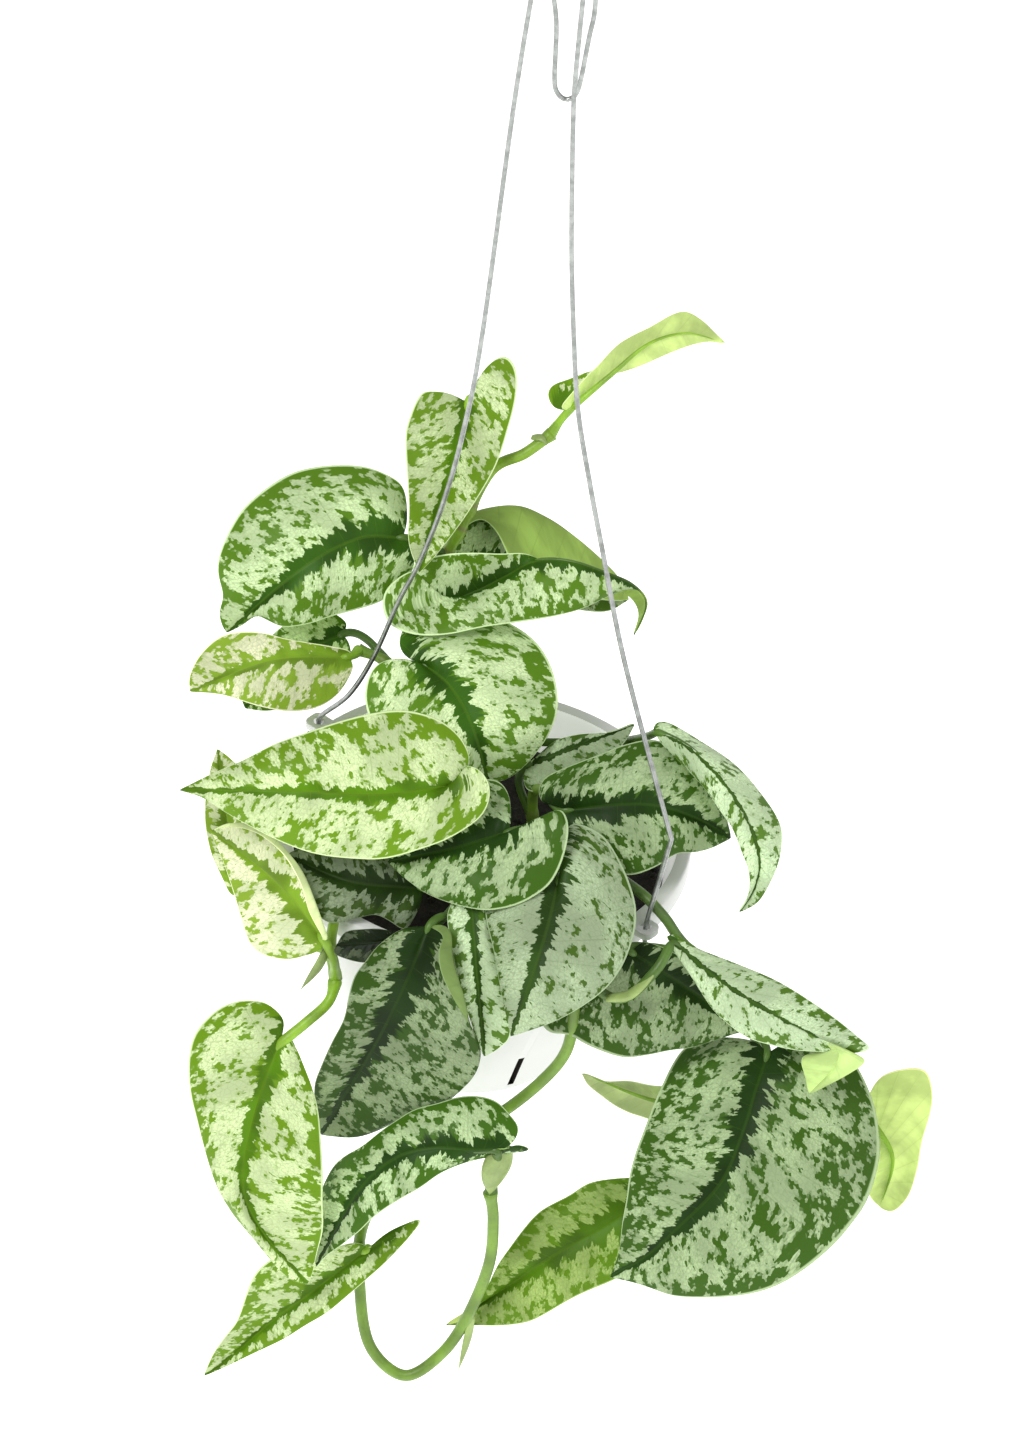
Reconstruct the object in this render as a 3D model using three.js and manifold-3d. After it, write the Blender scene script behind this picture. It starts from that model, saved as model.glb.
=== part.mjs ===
// A satin pothos in a round hanging pot with a one-piece wire hanger.
// Millimetres, +Z up. The origin is the inside top of the hanger's hook, where it hangs.
import * as THREE from 'three';
import { mergeVertices } from 'three/addons/utils/BufferGeometryUtils.js';
import Module from 'manifold-3d';

const wasm = await Module();
wasm.setup();

// Driving dimensions
const rimHeight = -400;          // pot rim below the hook
const hookCentre = { x: 0, y: 12 };
const fitGap = 0.35;             // clearance between pieces that touch

const pot = {
  rimRadius: 75, lipWidth: 3.5, lipDepth: 9, wall: 1.8, baseRadius: 39, height: 94,
  footHeight: 2, segments: 36,
  slotCount: 6, slotWidth: 2.4, slotBottom: 3.5, slotTop: 21, slotReach: 14, slotTurn: -61,
  lugRadius: 77.5, lugWidth: 8, lugReach: 81.5, lugThickness: 2.6, lugHole: 1.9,
};
const soil = { top: -15, crown: 3, clearance: 0.4 };
const wire = { radius: 0.9, planeTurn: -37.6, sides: 6, steps: 120 };
const stemSides = 6;
const stemStep = 9;
const petioleSides = 5;
const petioleSteps = 6;
const blade = { thickness: 1, rows: 7, halfColumns: 3, shoulder: 0.24, taper: 0.85, tipHalf: 0.5 };
const lightTilt = 50;            // the foliage faces the light, this far over from level

const colours = {
  pot: 0xf2f3f1, soil: 0x1e1a16, wire: 0xb4b8bb, vine: 0x7ba544, leaf: 0x9fc08a,
};

// Solids
const toRadians = THREE.MathUtils.degToRad;
const point = ([x, y, z]) => new THREE.Vector3(x, y, z);

function weld(geometry) {
  const bare = geometry.index ? geometry.clone() : geometry;
  bare.deleteAttribute('normal');
  bare.deleteAttribute('uv');
  return mergeVertices(bare, 1e-4);
}

function toSolid(geometry) {
  const welded = weld(geometry);
  return new wasm.Manifold(new wasm.Mesh({
    numProp: 3,
    vertProperties: Float32Array.from(welded.attributes.position.array),
    triVerts: Uint32Array.from(welded.index.array),
  }));
}

function toGeometry(solid) {
  const mesh = solid.getMesh();
  const geometry = new THREE.BufferGeometry();
  geometry.setAttribute('position', new THREE.BufferAttribute(mesh.vertProperties, 3));
  geometry.setIndex(new THREE.BufferAttribute(mesh.triVerts, 1));
  geometry.computeVertexNormals();
  return geometry;
}

function makeMesh(name, geometry, colour, roughness, metalness = 0) {
  const material = new THREE.MeshStandardMaterial({ color: colour, roughness, metalness });
  const mesh = new THREE.Mesh(geometry, material);
  mesh.name = name;
  return mesh;
}

function tube(curve, radius, steps, sides) {
  const section = new THREE.Shape();
  for (let i = 0; i < sides; i += 1) {
    const angle = (2 * Math.PI * i) / sides;
    const [x, y] = [radius * Math.cos(angle), radius * Math.sin(angle)];
    if (i === 0) section.moveTo(x, y);
    else section.lineTo(x, y);
  }
  section.closePath();
  return new THREE.ExtrudeGeometry(section, { steps, extrudePath: curve });
}

const smooth = (points) => new THREE.CatmullRomCurve3(points, false, 'catmullrom', 0.5);

// The pot: a tapered shell with a turned-down lip, two lugs for the wire and slots low in its wall
function makePot() {
  const { rimRadius, lipWidth, lipDepth, wall, baseRadius, height, footHeight } = pot;
  const neck = rimRadius - lipWidth;
  const profile = [
    [0, footHeight - height], [baseRadius - 6, footHeight - height],
    [baseRadius - 5, -height], [baseRadius - 1.5, -height], [baseRadius, 1.5 - height],
    [neck, -lipDepth - 1], [neck, -wall], [rimRadius - wall, -wall], [rimRadius - wall, -lipDepth],
    [rimRadius, -lipDepth], [rimRadius, -1], [rimRadius - 1, 0], [neck - wall + 0.4, 0],
    [neck - wall, -0.8], [neck - wall, -lipDepth - 1],
    [baseRadius - wall, footHeight + wall + 1 - height], [baseRadius - wall - 1, footHeight + wall - height],
    [0, footHeight + wall - height],
  ].map(([r, z]) => new THREE.Vector2(r, z));
  const shell = new THREE.LatheGeometry(profile, pot.segments).rotateX(Math.PI / 2);
  let body = toSolid(shell);
  for (let i = 0; i < pot.slotCount; i += 1) {
    const angle = toRadians(pot.slotTurn + (360 * i) / pot.slotCount);
    const slot = new THREE.BoxGeometry(pot.slotReach, pot.slotWidth, pot.slotTop - pot.slotBottom);
    slot.translate(baseRadius + 4, 0, (pot.slotTop + pot.slotBottom) / 2 - height).rotateZ(angle);
    body = body.subtract(toSolid(slot));
  }
  for (const side of [0, 180]) {
    const angle = toRadians(wire.planeTurn + side);
    const start = rimRadius - lipWidth;
    const lug = new THREE.BoxGeometry(pot.lugReach - start, pot.lugWidth, pot.lugThickness);
    lug.translate((pot.lugReach + start) / 2, 0, -pot.lugThickness / 2 - 0.2).rotateZ(angle);
    const hole = new THREE.CylinderGeometry(pot.lugHole, pot.lugHole, 3 * pot.lugThickness, 12);
    hole.rotateX(Math.PI / 2).translate(pot.lugRadius, 0, -pot.lugThickness / 2).rotateZ(angle);
    body = body.add(toSolid(lug)).subtract(toSolid(hole));
  }
  return makeMesh('pot', toGeometry(body), colours.pot, 0.45);
}

function potInnerRadius(z) {
  const neck = pot.rimRadius - pot.lipWidth - pot.wall;
  const foot = pot.baseRadius - pot.wall;
  const bottom = pot.footHeight + pot.wall + 1 - pot.height;
  const top = -pot.lipDepth - 1;
  return THREE.MathUtils.mapLinear(z, bottom, top, foot, neck);
}

function makeSoil() {
  const floor = pot.footHeight + pot.wall - pot.height + soil.clearance;
  const lowRing = floor + 2;
  const profile = [
    [0, floor], [potInnerRadius(lowRing) - 2, floor],
    [potInnerRadius(lowRing) - soil.clearance * 1.5, lowRing],
    [potInnerRadius(soil.top - soil.crown) - soil.clearance * 1.5, soil.top - soil.crown],
    [potInnerRadius(soil.top) * 0.6, soil.top], [0, soil.top],
  ].map(([r, z]) => new THREE.Vector2(r, z));
  const body = new THREE.LatheGeometry(profile, pot.segments - 8).rotateX(Math.PI / 2);
  return makeMesh('soil', toGeometry(toSolid(body)), colours.soil, 1);
}

// The hanger: one wire, up the left leg, over the crook, round the hook's tip and down the right leg.
// Leg points are [distance from the pot's axis, height above the rim] in the hanger's own plane.
const legs = {
  left: [[-82, -8.6], [-79, -8.2], [-77.5, -6.5], [-77.5, -2], [-76.6, 3], [-65, 20],
    [-55.6, 43.5], [-46.7, 75], [-39.3, 97], [-31.6, 128], [-25.7, 164], [-21.4, 212], [-17.4, 319], [-14, 375]],
  right: [[8.3, 385], [8.4, 346], [9.5, 325], [14, 275], [18.9, 237], [24.3, 205], [32.7, 177],
    [40.4, 154], [55.7, 110], [82, 51], [84.5, 45], [83.5, 38], [78.3, 6], [77.5, 0], [77.5, -6.5],
    [79, -8.2], [82, -8.6]],
};
const hook = [
  [-9.8, 13, 393], [-7.6, 17, 400.5], [-5.6, 22, 398], [-4.6, 25, 385], [-4.4, 25, 363],
  [-1.8, 25, 345], [-0.6, 25, 321], [1, 25, 314.6], [4.2, 25, 312.2], [7.2, 25, 314.6],
  [8.6, 25, 322], [10, 25, 341], [11, 25, 352], [10.6, 25, 366], [9.6, 24, 388], [8.8, 19, 399],
  [8, 10, 402], [7.2, 0, 399],
];

function makeHanger() {
  const turn = toRadians(wire.planeTurn);
  const inPlane = ([w, z]) => new THREE.Vector3(w * Math.cos(turn), w * Math.sin(turn), z);
  const route = [...legs.left.map(inPlane), ...hook.map(point), ...legs.right.map(inPlane)];
  return makeMesh('hanger_wire', tube(smooth(route), wire.radius, wire.steps, wire.sides), colours.wire, 0.4, 0.8);
}

// Vines. A root is [x, y] on the soil; the other points are in the foliage's frame:
// x to the right, y up the slope that faces the light, z out of it.
const vines = {
  upper: { radius: 2, root: [-4, 22], points: [[-13, 36, -14], [-20, 60, -10], [-24, 84, -6],
    [-17, 106, -2], [-9, 125, 3], [2, 132, 6], [11, 140, 8]] },
  left: { radius: 1.8, root: [-24, 16], points: [[-30, 34, -16], [-38, 52, -14], [-50, 57, -14]] },
  left_trailing: { radius: 1.9, root: [-30, -24], points: [[-41, -20, 34], [-47, -31, 47],
    [-49, -48, 42.5], [-46, -60, 34]] },
  front: { radius: 2, root: [-3, -22], points: [[-2, -14, 22], [-3, -22, 38], [-6, -34, 50]] },
  long: { radius: 2.1, root: [20, -32], points: [[25, -30, 42], [31, -37, 54], [37, -50, 54],
    [39, -66, 42], [36, -81, 30], [20, -99, 16], [0, -113, 6], [-18, -128, -2], [-27, -147, -15],
    [-25, -170, -27], [-20, -188, -34], [-8, -197, -36], [4, -190, -33], [12, -176, -25],
    [18, -156, -8], [18, -140, 4], [16, -130, 12]] },
  right: { radius: 1.9, root: [18, 6], points: [[17, 12, 8], [19, 14, 18], [22, 14, 26]] },
  right_trailing: { radius: 2, root: [30, -10], points: [[36, -6, 8], [50, -14, 26], [60, -20, 38.5],
    [68, -27, 38], [74, -34, 36], [88, -47, 26], [104, -66, 12], [108, -86, 0], [98, -104, -10]] },
};

function vineCurve({ root: [x, y], points }) {
  const pitch = toRadians(lightTilt);
  const onSoil = (height) => {
    const z = soil.top + height;
    return new THREE.Vector3(x, y * Math.cos(pitch) + z * Math.sin(pitch),
      z * Math.cos(pitch) - y * Math.sin(pitch));
  };
  return smooth([onSoil(fitGap), onSoil(8), ...points.map(point)]);
}

// Leaves. rib runs from the stalk to the tip; width, turn, curl and lobe are [left, right] of it:
// half width, how far each half folds up out of the leaf's plane, how much more it bends by its
// edge, and how far its lobe reaches back past the stalk. taper shapes the outline towards the tip,
// and shoulder carries the widest part forwards. Each leaf stands on a vine at a fraction of that
// vine's length.
const leaves = {
  leaf_01: { vine: 'upper', at: 0.74, rib: [[-20, 148, 14], [-22.5, 128, 9], [-27, 107, 9], [-31, 86, 18]],
    width: [21, 21.5], turn: [32, 32], curl: [0, 0], lobe: [22, 10], taper: [1, 0.9],
    shoulder: [0.05, 0.24] },
  leaf_02: { vine: 'upper', at: 0.62, rib: [[-38, 98, 4], [-54, 96, 9], [-73, 83, 12], [-97, 59, 0]],
    width: [26, 29], turn: [-8, -8], curl: [-20, -25], lobe: [8, 5], taper: [0.7, 0.36],
    shoulder: [0.1, 0.34] },
  leaf_03: { vine: 'left', at: 0.85, rib: [[-57, 61, -22], [-74, 48, -24], [-88, 31, -26]],
    width: [10, 11], turn: [0, 0], curl: [10, 10], lobe: [6, 7] },
  leaf_04: { vine: 'left', at: 1, rib: [[-53, 54, -8], [-80, 50, 0], [-108, 36, -6]],
    width: [20, 15], turn: [5, 30], curl: [0, 20], lobe: [5, 0], taper: [0.95, 0.3],
    shoulder: [0.24, 0.5] },
  leaf_05: { vine: 'upper', at: 0.5, rib: [[-27, 76, 4], [-6, 83, 8], [15, 92, 14], [38, 89, 16],
    [48, 82, 8], [45, 71, 0]], width: [19, 22], turn: [45, 38], curl: [0, -20], lobe: [16, 20],
    taper: 1.5, twist: 50 },
  leaf_06: { vine: 'upper', at: 0.68, rib: [[-22, 86, -16], [-4, 93, -20], [20, 94, -24], [44, 87, -26]],
    width: [20, 13], turn: [20, 10], curl: [50, 0], lobe: [6, 8] },
  leaf_07: { vine: 'upper', at: 1, rib: [[16, 149, 12], [38, 169, 14], [69, 178, 10]],
    width: [10, 13], turn: [20, 0], curl: [0, 0], lobe: [4, 6], face: -1 },
  leaf_08: { vine: 'upper', at: 0.3, rib: [[-26, 53, 12], [-9, 37, 28], [1, 13, 18]],
    width: [37, 34], turn: [-12, -8], curl: [-30, -30], lobe: [22, 20], taper: [0.45, 0.6],
    shoulder: [0.05, 0.1] },
  leaf_09: { vine: 'left', at: 0.2, rib: [[-12, 12, 66], [-35, 7, 72], [-70, 3, 72], [-108, 1, 62]],
    width: [24, 30], turn: [4, 4], curl: [-8, -16], lobe: [18, 14], taper: [0.65, 1.25],
    shoulder: [0, 0.14],
    stalk: [[-26, 3, 30], [-18, 6, 56]] },
  leaf_10: { vine: 'left_trailing', at: 0.85, rib: [[-82, -34, 24], [-90, -8, 22], [-94, 16, 12]],
    width: [14, 14], turn: [50, 10], curl: [0, 0], lobe: [6, 6] },
  leaf_11: { vine: 'left_trailing', at: 0.98, rib: [[-52, -46, 52], [-70, -28, 52], [-95, -12, 44]],
    width: [22, 16], turn: [5, 80], curl: [-10, 40], lobe: [8, 3] },
  leaf_12: { vine: 'front', at: 0.6, rib: [[-18, -25, 46], [-44, -25, 50], [-68, -18, 42]],
    width: [15, 12], turn: [16, 0], curl: [0, 0], lobe: [6, 6] },
  leaf_13: { vine: 'front', at: 0.66, rib: [[-23, -43, 57], [-36, -46, 56], [-47, -48, 53]],
    width: [6.5, 4], turn: [0, 0], curl: [0, 0], lobe: [2, 2] },
  leaf_14: { vine: 'front', at: 0.3, rib: [[10, -2, 56], [-10, -10, 58], [-32, -17, 55]],
    width: [26, 17], turn: [22, -15], curl: [-10, 0], lobe: [21, 8] },
  leaf_15: { vine: 'long', at: 0.1, rib: [[29, -15, 56], [26, -45, 71], [18, -74, 64]],
    width: [31, 24], turn: [-8, -2], curl: [-20, -16], lobe: [20, 16] },
  leaf_16: { vine: 'front', at: 0.8, rib: [[0, -27, 58], [7, -54, 61], [9, -82, 50]],
    width: [12, 12], turn: [0, 14], curl: [0, 0], lobe: [3, 3] },
  leaf_17: { vine: 'front', at: 1, rib: [[-15, -42, 64], [-26, -80, 40], [-46, -116, 2]],
    width: [28, 28], turn: [-8, 12], curl: [-10, -20], lobe: [6, 6] },
  leaf_18: { vine: 'right', at: 1, rib: [[27, 8, 38], [60, 13, 40], [88, 4, 24]],
    width: [29, 26], turn: [-3, 0], curl: [-38, -15], lobe: [10, 10], taper: [1.75, 0.8] },
  leaf_19: { vine: 'right', at: 0.4, rib: [[18, 25, 8], [33, 31, 9], [49, 40, 8]],
    width: [9, 11], turn: [10, 60], curl: [0, 0], lobe: [4, 4] },
  leaf_20: { vine: 'upper', at: 0.2, rib: [[57, 38, 36], [79, 23, 50], [96, 3, 44], [93, -22, 24]],
    width: [12, 13], turn: [0, 40], curl: [-10, 0], lobe: [6, 6],
    stalk: [[26, 36, -3], [46, 41, -8], [56, 42, 12]] },
  leaf_21: { vine: 'right_trailing', at: 0.5, rib: [[54, -42, 50], [75, -50, 48], [100, -64, 34]],
    width: [9, 34], turn: [0, 0], curl: [0, -10], lobe: [6, 12] },
  leaf_22: { vine: 'long', at: 0.17, rib: [[67, -33, 57], [98, -50, 56], [130, -65, 48],
    [139, -74, 38], [124, -84, 36]],
    width: [9, 15], turn: [-5, -5], curl: [-10, -10], lobe: [3, 3],
    stalk: [[54, -57, 52], [68, -44, 60]] },
  leaf_23: { vine: 'right_trailing', at: 0.72, rib: [[109, -71, 20], [96, -114, 28], [60, -157, 8]],
    width: [49, 40], turn: [0, -36], curl: [-12, -30], lobe: [14, 8], taper: 0.7 },
  leaf_24: { vine: 'right_trailing', at: 0.8, rib: [[158, -74, -2], [163, -97, -6], [154, -123, -12]],
    width: [12, 8], turn: [0, 0], curl: [0, 0], lobe: [6, 4], face: -1 },
  leaf_25: { vine: 'right_trailing', at: 0.9, rib: [[92, -93, -16], [70, -93, -14], [44, -85, -18]],
    width: [8, 12], turn: [0, 0], curl: [0, 0], lobe: [4, 4], face: -1 },
  leaf_26: { vine: 'right_trailing', at: 1, rib: [[76, -124, -12], [42, -151, -18], [4, -179, -38]],
    width: [17, 16], turn: [-30, 0], curl: [-10, -10], lobe: [8, 8] },
  leaf_27: { vine: 'long', at: 1, rib: [[18, -114, 31], [-14, -119, 32], [-34, -134, 17], [-44, -164, -2]],
    width: [17, 24], turn: [40, 25], curl: [0, -10], lobe: [8, 12] },
  leaf_28: { vine: 'left_trailing', at: 1, rib: [[-61, -82, 36], [-69, -122, 32], [-47, -168, 12]],
    width: [24, 23], turn: [-8, -5], curl: [-20, -20], lobe: [8, 13] },
  leaf_29: { vine: 'long', at: 0.6, rib: [[-25, -155, -9], [-50, -177, -18], [-79, -206, -34]],
    width: [15, 18], turn: [55, 10], curl: [0, 0], lobe: [24, 8] },
};

function bladeFrame(leaf, curve, length, along) {
  const clamped = THREE.MathUtils.clamp(along, 0, 1);
  const place = curve.getPoint(clamped);
  const forward = curve.getTangent(clamped);
  place.addScaledVector(forward, (along - clamped) * length);
  const facing = new THREE.Vector3(0, 0, leaf.face ?? 1);
  const right = forward.clone().cross(facing).normalize();
  right.applyAxisAngle(forward, toRadians(leaf.twist ?? 0) * clamped);
  const up = right.clone().cross(forward);
  return { place, right, up };
}

// A point of the blade: u from stalk to tip, v from -1 at the left edge to 1 at the right edge
function bladePoint(leaf, curve, length, u, v) {
  const half = v < 0 ? 0 : 1;
  const out = Math.abs(v);
  const swell = (1 - Math.cos(Math.PI * out)) / 2;
  const width = leaf.width[half];
  const taper = leaf.taper?.[half] ?? leaf.taper ?? blade.taper;
  const shoulder = leaf.shoulder?.[half] ?? blade.shoulder;
  const back = (leaf.lobe[half] / length) * Math.sin(Math.PI * out) * (1 - u) ** 2;
  const along = u + (1 - u) * shoulder * swell - back;
  const rounded = (1 - u) ** 4;
  const outward = out * (1 - rounded) + swell * rounded;
  const reach = (width * Math.cos((Math.PI * u) / 2) ** taper + blade.tipHalf) * outward;
  const turn = toRadians(leaf.turn[half]);
  const bend = toRadians(leaf.curl[half] || 0.01) / width;
  const across = (Math.sin(turn + bend * reach) - Math.sin(turn)) / bend;
  const rise = (Math.cos(turn) - Math.cos(turn + bend * reach)) / bend;
  const { place, right, up } = bladeFrame(leaf, curve, length, along);
  return place.addScaledVector(right, half ? across : -across).addScaledVector(up, rise);
}

function makeBlade(leaf, curve) {
  const length = curve.getLength();
  const { rows, halfColumns, thickness } = blade;
  const columns = 2 * halfColumns;
  const middle = [];
  for (let i = 0; i <= rows; i += 1) {
    for (let j = 0; j <= columns; j += 1) {
      middle.push(bladePoint(leaf, curve, length, i / rows, j / halfColumns - 1));
    }
  }
  const at = (i, j) => i * (columns + 1) + j;
  const faces = [];
  for (let i = 0; i < rows; i += 1) {
    for (let j = 0; j < columns; j += 1) {
      faces.push(at(i, j), at(i, j + 1), at(i + 1, j), at(i, j + 1), at(i + 1, j + 1), at(i + 1, j));
    }
  }
  const sheet = new THREE.BufferGeometry().setFromPoints(middle);
  sheet.setIndex(faces);
  sheet.computeVertexNormals();
  const normals = sheet.attributes.normal;
  const shifted = (side) => middle.map((p, i) => p.clone().addScaledVector(
    new THREE.Vector3().fromBufferAttribute(normals, i), (side * thickness) / 2));
  const under = middle.length;
  const edge = [];
  for (let j = 0; j < columns; j += 1) edge.push(at(0, j));
  for (let i = 0; i < rows; i += 1) edge.push(at(i, columns));
  for (let j = columns; j > 0; j -= 1) edge.push(at(rows, j));
  for (let i = rows; i > 0; i -= 1) edge.push(at(i, 0));
  const closed = [...faces];
  for (let k = 0; k < faces.length; k += 3) {
    closed.push(faces[k] + under, faces[k + 2] + under, faces[k + 1] + under);
  }
  edge.forEach((a, k) => {
    const b = edge[(k + 1) % edge.length];
    closed.push(a, a + under, b, b, a + under, b + under);
  });
  const solid = new THREE.BufferGeometry().setFromPoints([...shifted(1), ...shifted(-1)]);
  solid.setIndex(closed);
  return solid;
}

function makeLeaf(name, leaf) {
  const rib = smooth(leaf.rib.map(point));
  const vine = vineCurve(vines[leaf.vine]);
  const vineRadius = vines[leaf.vine].radius;
  const start = vine.getPointAt(Math.min(leaf.at, 0.995));
  const base = rib.getPoint(0.02);
  const reach = start.distanceTo(base);
  const arrive = base.clone().addScaledVector(rib.getTangent(0), -0.4 * reach);
  const stalkCurve = leaf.stalk
    ? smooth([start, ...leaf.stalk.map(point), base])
    : new THREE.QuadraticBezierCurve3(start, arrive, base);
  const stalk = toSolid(tube(stalkCurve, 1.3, petioleSteps, petioleSides));
  const grown = toSolid(tube(vine, vineRadius + fitGap, Math.ceil(vine.getLength() / stemStep), stemSides));
  const body = toSolid(makeBlade(leaf, rib)).add(stalk).subtract(grown);
  return makeMesh(name, toGeometry(body), colours.leaf, 0.6);
}

function makeVine(name, vine) {
  const curve = vineCurve(vine);
  const steps = Math.ceil(curve.getLength() / stemStep);
  return makeMesh(`vine_${name}`, tube(curve, vine.radius, steps, stemSides), colours.vine, 0.5);
}

// Assembly
const container = new THREE.Group();
container.add(makePot(), makeSoil(), makeHanger());

const foliage = new THREE.Group();
foliage.rotation.x = toRadians(lightTilt);
for (const [name, vine] of Object.entries(vines)) foliage.add(makeVine(name, vine));
for (const [name, leaf] of Object.entries(leaves)) foliage.add(makeLeaf(name, leaf));

const group = new THREE.Group();
container.add(foliage);
container.position.set(-hookCentre.x, -hookCentre.y, rimHeight);
group.add(container);

export default group;
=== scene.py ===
import math
import random

import bmesh
import bpy
from mathutils import Matrix, Vector, noise


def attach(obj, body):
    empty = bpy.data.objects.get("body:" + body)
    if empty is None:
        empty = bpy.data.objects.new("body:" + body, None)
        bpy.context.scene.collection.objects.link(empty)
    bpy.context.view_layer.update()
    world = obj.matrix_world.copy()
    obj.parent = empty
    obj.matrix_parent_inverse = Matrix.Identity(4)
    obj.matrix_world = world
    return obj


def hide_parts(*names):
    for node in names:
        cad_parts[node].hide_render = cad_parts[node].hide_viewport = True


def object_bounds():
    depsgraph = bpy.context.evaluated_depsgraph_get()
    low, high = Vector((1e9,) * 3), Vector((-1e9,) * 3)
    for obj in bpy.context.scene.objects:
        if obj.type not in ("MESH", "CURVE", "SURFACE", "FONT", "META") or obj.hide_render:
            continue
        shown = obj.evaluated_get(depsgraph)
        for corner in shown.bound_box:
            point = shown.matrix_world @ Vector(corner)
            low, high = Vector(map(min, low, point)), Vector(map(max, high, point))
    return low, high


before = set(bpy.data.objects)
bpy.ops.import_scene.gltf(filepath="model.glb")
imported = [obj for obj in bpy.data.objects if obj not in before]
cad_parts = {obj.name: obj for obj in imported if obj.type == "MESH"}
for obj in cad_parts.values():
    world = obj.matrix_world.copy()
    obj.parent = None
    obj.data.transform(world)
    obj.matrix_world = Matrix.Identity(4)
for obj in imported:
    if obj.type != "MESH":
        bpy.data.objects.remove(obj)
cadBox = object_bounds()
mm = 0.001
random.seed(11)

# the pot's rim hangs below and a little in front of the hook; the foliage leans back to face the light
plant = {"rim": (0, -12, -400), "lean": 50, "soilTop": -15}
potFrame = Matrix.Translation(Vector(plant["rim"]) * mm) @ Matrix.Scale(mm, 4)
leafFrame = potFrame @ Matrix.Rotation(math.radians(plant["lean"]), 4, "X")
view = {"pixels": (1024, 1444), "mmPerPixel": 0.355, "rimAt": (482, 823), "roll": 5.72, "distance": 12.0,
        "sensor": 36, "clip": (1, 40)}


def addObject(name, data):
    thing = bpy.data.objects.new(name, data)
    bpy.context.collection.objects.link(thing)
    return thing


def makeCamera():
    wide, tall = view["pixels"]
    turn = Matrix.Rotation(math.radians(view["roll"]), 4, "Z")
    offset = Vector((wide / 2 - view["rimAt"][0], view["rimAt"][1] - tall / 2, 0)) * view["mmPerPixel"]
    centre = leafFrame @ (turn @ offset)
    data = bpy.data.cameras.new("camera")
    data.sensor_width = view["sensor"]
    data.lens = view["sensor"] * view["distance"] / (tall * view["mmPerPixel"] * mm)
    data.clip_start, data.clip_end = view["clip"]
    camera = addObject("camera", data)
    facing = leafFrame.to_3x3().normalized().to_4x4() @ turn
    back = facing.to_3x3() @ Vector((0, 0, view["distance"]))
    camera.matrix_world = Matrix.Translation(centre + back) @ facing
    bpy.context.scene.camera = camera


makeCamera()
print("camera set")


def srgb(red, green, blue):
    def toLinear(c):
        c /= 255
        return c / 12.92 if c <= 0.04045 else ((c + 0.055) / 1.055) ** 2.4
    return (toLinear(red), toLinear(green), toLinear(blue), 1)


class Finish:  # a material under construction: each call adds a node and gives back its output

    def __init__(self, name):
        self.material = bpy.data.materials.new(name)
        self.material.use_nodes = True
        self.tree = self.material.node_tree
        self.tree.nodes.clear()

    def node(self, kind, inputs, output=0, **settings):
        node = self.tree.nodes.new("ShaderNode" + kind)
        for key, value in settings.items():
            setattr(node, key, value)
        for key, value in inputs.items():
            if isinstance(value, bpy.types.NodeSocket):
                self.tree.links.new(value, node.inputs[key])
            else:
                node.inputs[key].default_value = value
        return node.outputs[output]

    def maths(self, operation, a, b=0.0, c=0.0):
        return self.node("Math", {0: a, 1: b, 2: c}, operation=operation)

    def times(self, a, b):
        return self.maths("MULTIPLY", a, b)

    def timesPlus(self, a, b, c):
        return self.maths("MULTIPLY_ADD", a, b, c)

    def ramp(self, value, low, high, start=0.0, end=1.0, smooth=True):
        return self.node("MapRange", {0: value, 1: low, 2: high, 3: start, 4: end}, clamp=True,
                         interpolation_type="SMOOTHSTEP" if smooth else "LINEAR")

    def mix(self, factor, a, b):
        return self.node("Mix", {0: factor, 6: a, 7: b}, 2, data_type="RGBA")

    def noise(self, vector, scale, detail=2.0, roughness=0.5, dimensions="3D"):
        inputs = {"Vector": vector, "Scale": scale, "Detail": detail, "Roughness": roughness}
        return self.node("TexNoise", inputs, noise_dimensions=dimensions)

    def cells(self, vector, scale, randomness, output, feature="F1"):
        inputs = {"Vector": vector, "Scale": scale, "Randomness": randomness}
        return self.node("TexVoronoi", inputs, output, voronoi_dimensions="2D", feature=feature)

    def grain(self, scale, detail=2.0, roughness=0.5):  # noise that runs through the solid
        return self.noise(self.node("TexCoord", {}, "Object"), scale, detail, roughness)

    def finish(self, colour, roughness, bump=None, bumpDepth=0.0005, bumpStrength=0.6, glow=0, **sockets):
        inputs = {"Base Color": colour, "Roughness": roughness, **sockets}
        if glow:
            inputs.update({"Emission Color": (1, 1, 1, 1), "Emission Strength": glow})
        if bump is not None:
            relief = {"Height": bump, "Distance": bumpDepth, "Strength": bumpStrength}
            inputs["Normal"] = self.node("Bump", relief)
        out = self.tree.nodes.new("ShaderNodeOutputMaterial")
        self.tree.links.new(self.node("BsdfPrincipled", inputs), out.inputs["Surface"])
        return self.material


def plainObject(name, mesh):
    data = bpy.data.meshes.new(name)
    mesh.to_mesh(data)
    mesh.free()
    return addObject(name, data)


# turns a bmesh in millimetres into a finished object in metres that rides with the plant
def makePiece(name, mesh, materials, node, place):
    mesh.transform(place)
    for face in mesh.faces:
        face.smooth = True
    piece = plainObject(name, mesh)
    for material in materials:
        piece.data.materials.append(material)
    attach(piece, "root")
    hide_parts(node)
    return piece


def curvePoint(points, t):
    last = len(points) - 1
    place = min(max(t, 0.0), 1.0) * last
    i = min(int(place), last - 1)
    w = place - i
    p1, p2 = points[i], points[i + 1]
    p0 = points[i - 1] if i else p1 * 2 - p2
    p3 = points[i + 2] if i + 2 <= last else p2 * 2 - p1
    square, cube = w * w, w * w * w
    return (p1 * (2 * cube - 3 * square + 1) + (p2 - p0) * 0.5 * (cube - 2 * square + w)
            + p2 * (3 * square - 2 * cube) + (p3 - p1) * 0.5 * (cube - square))


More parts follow.
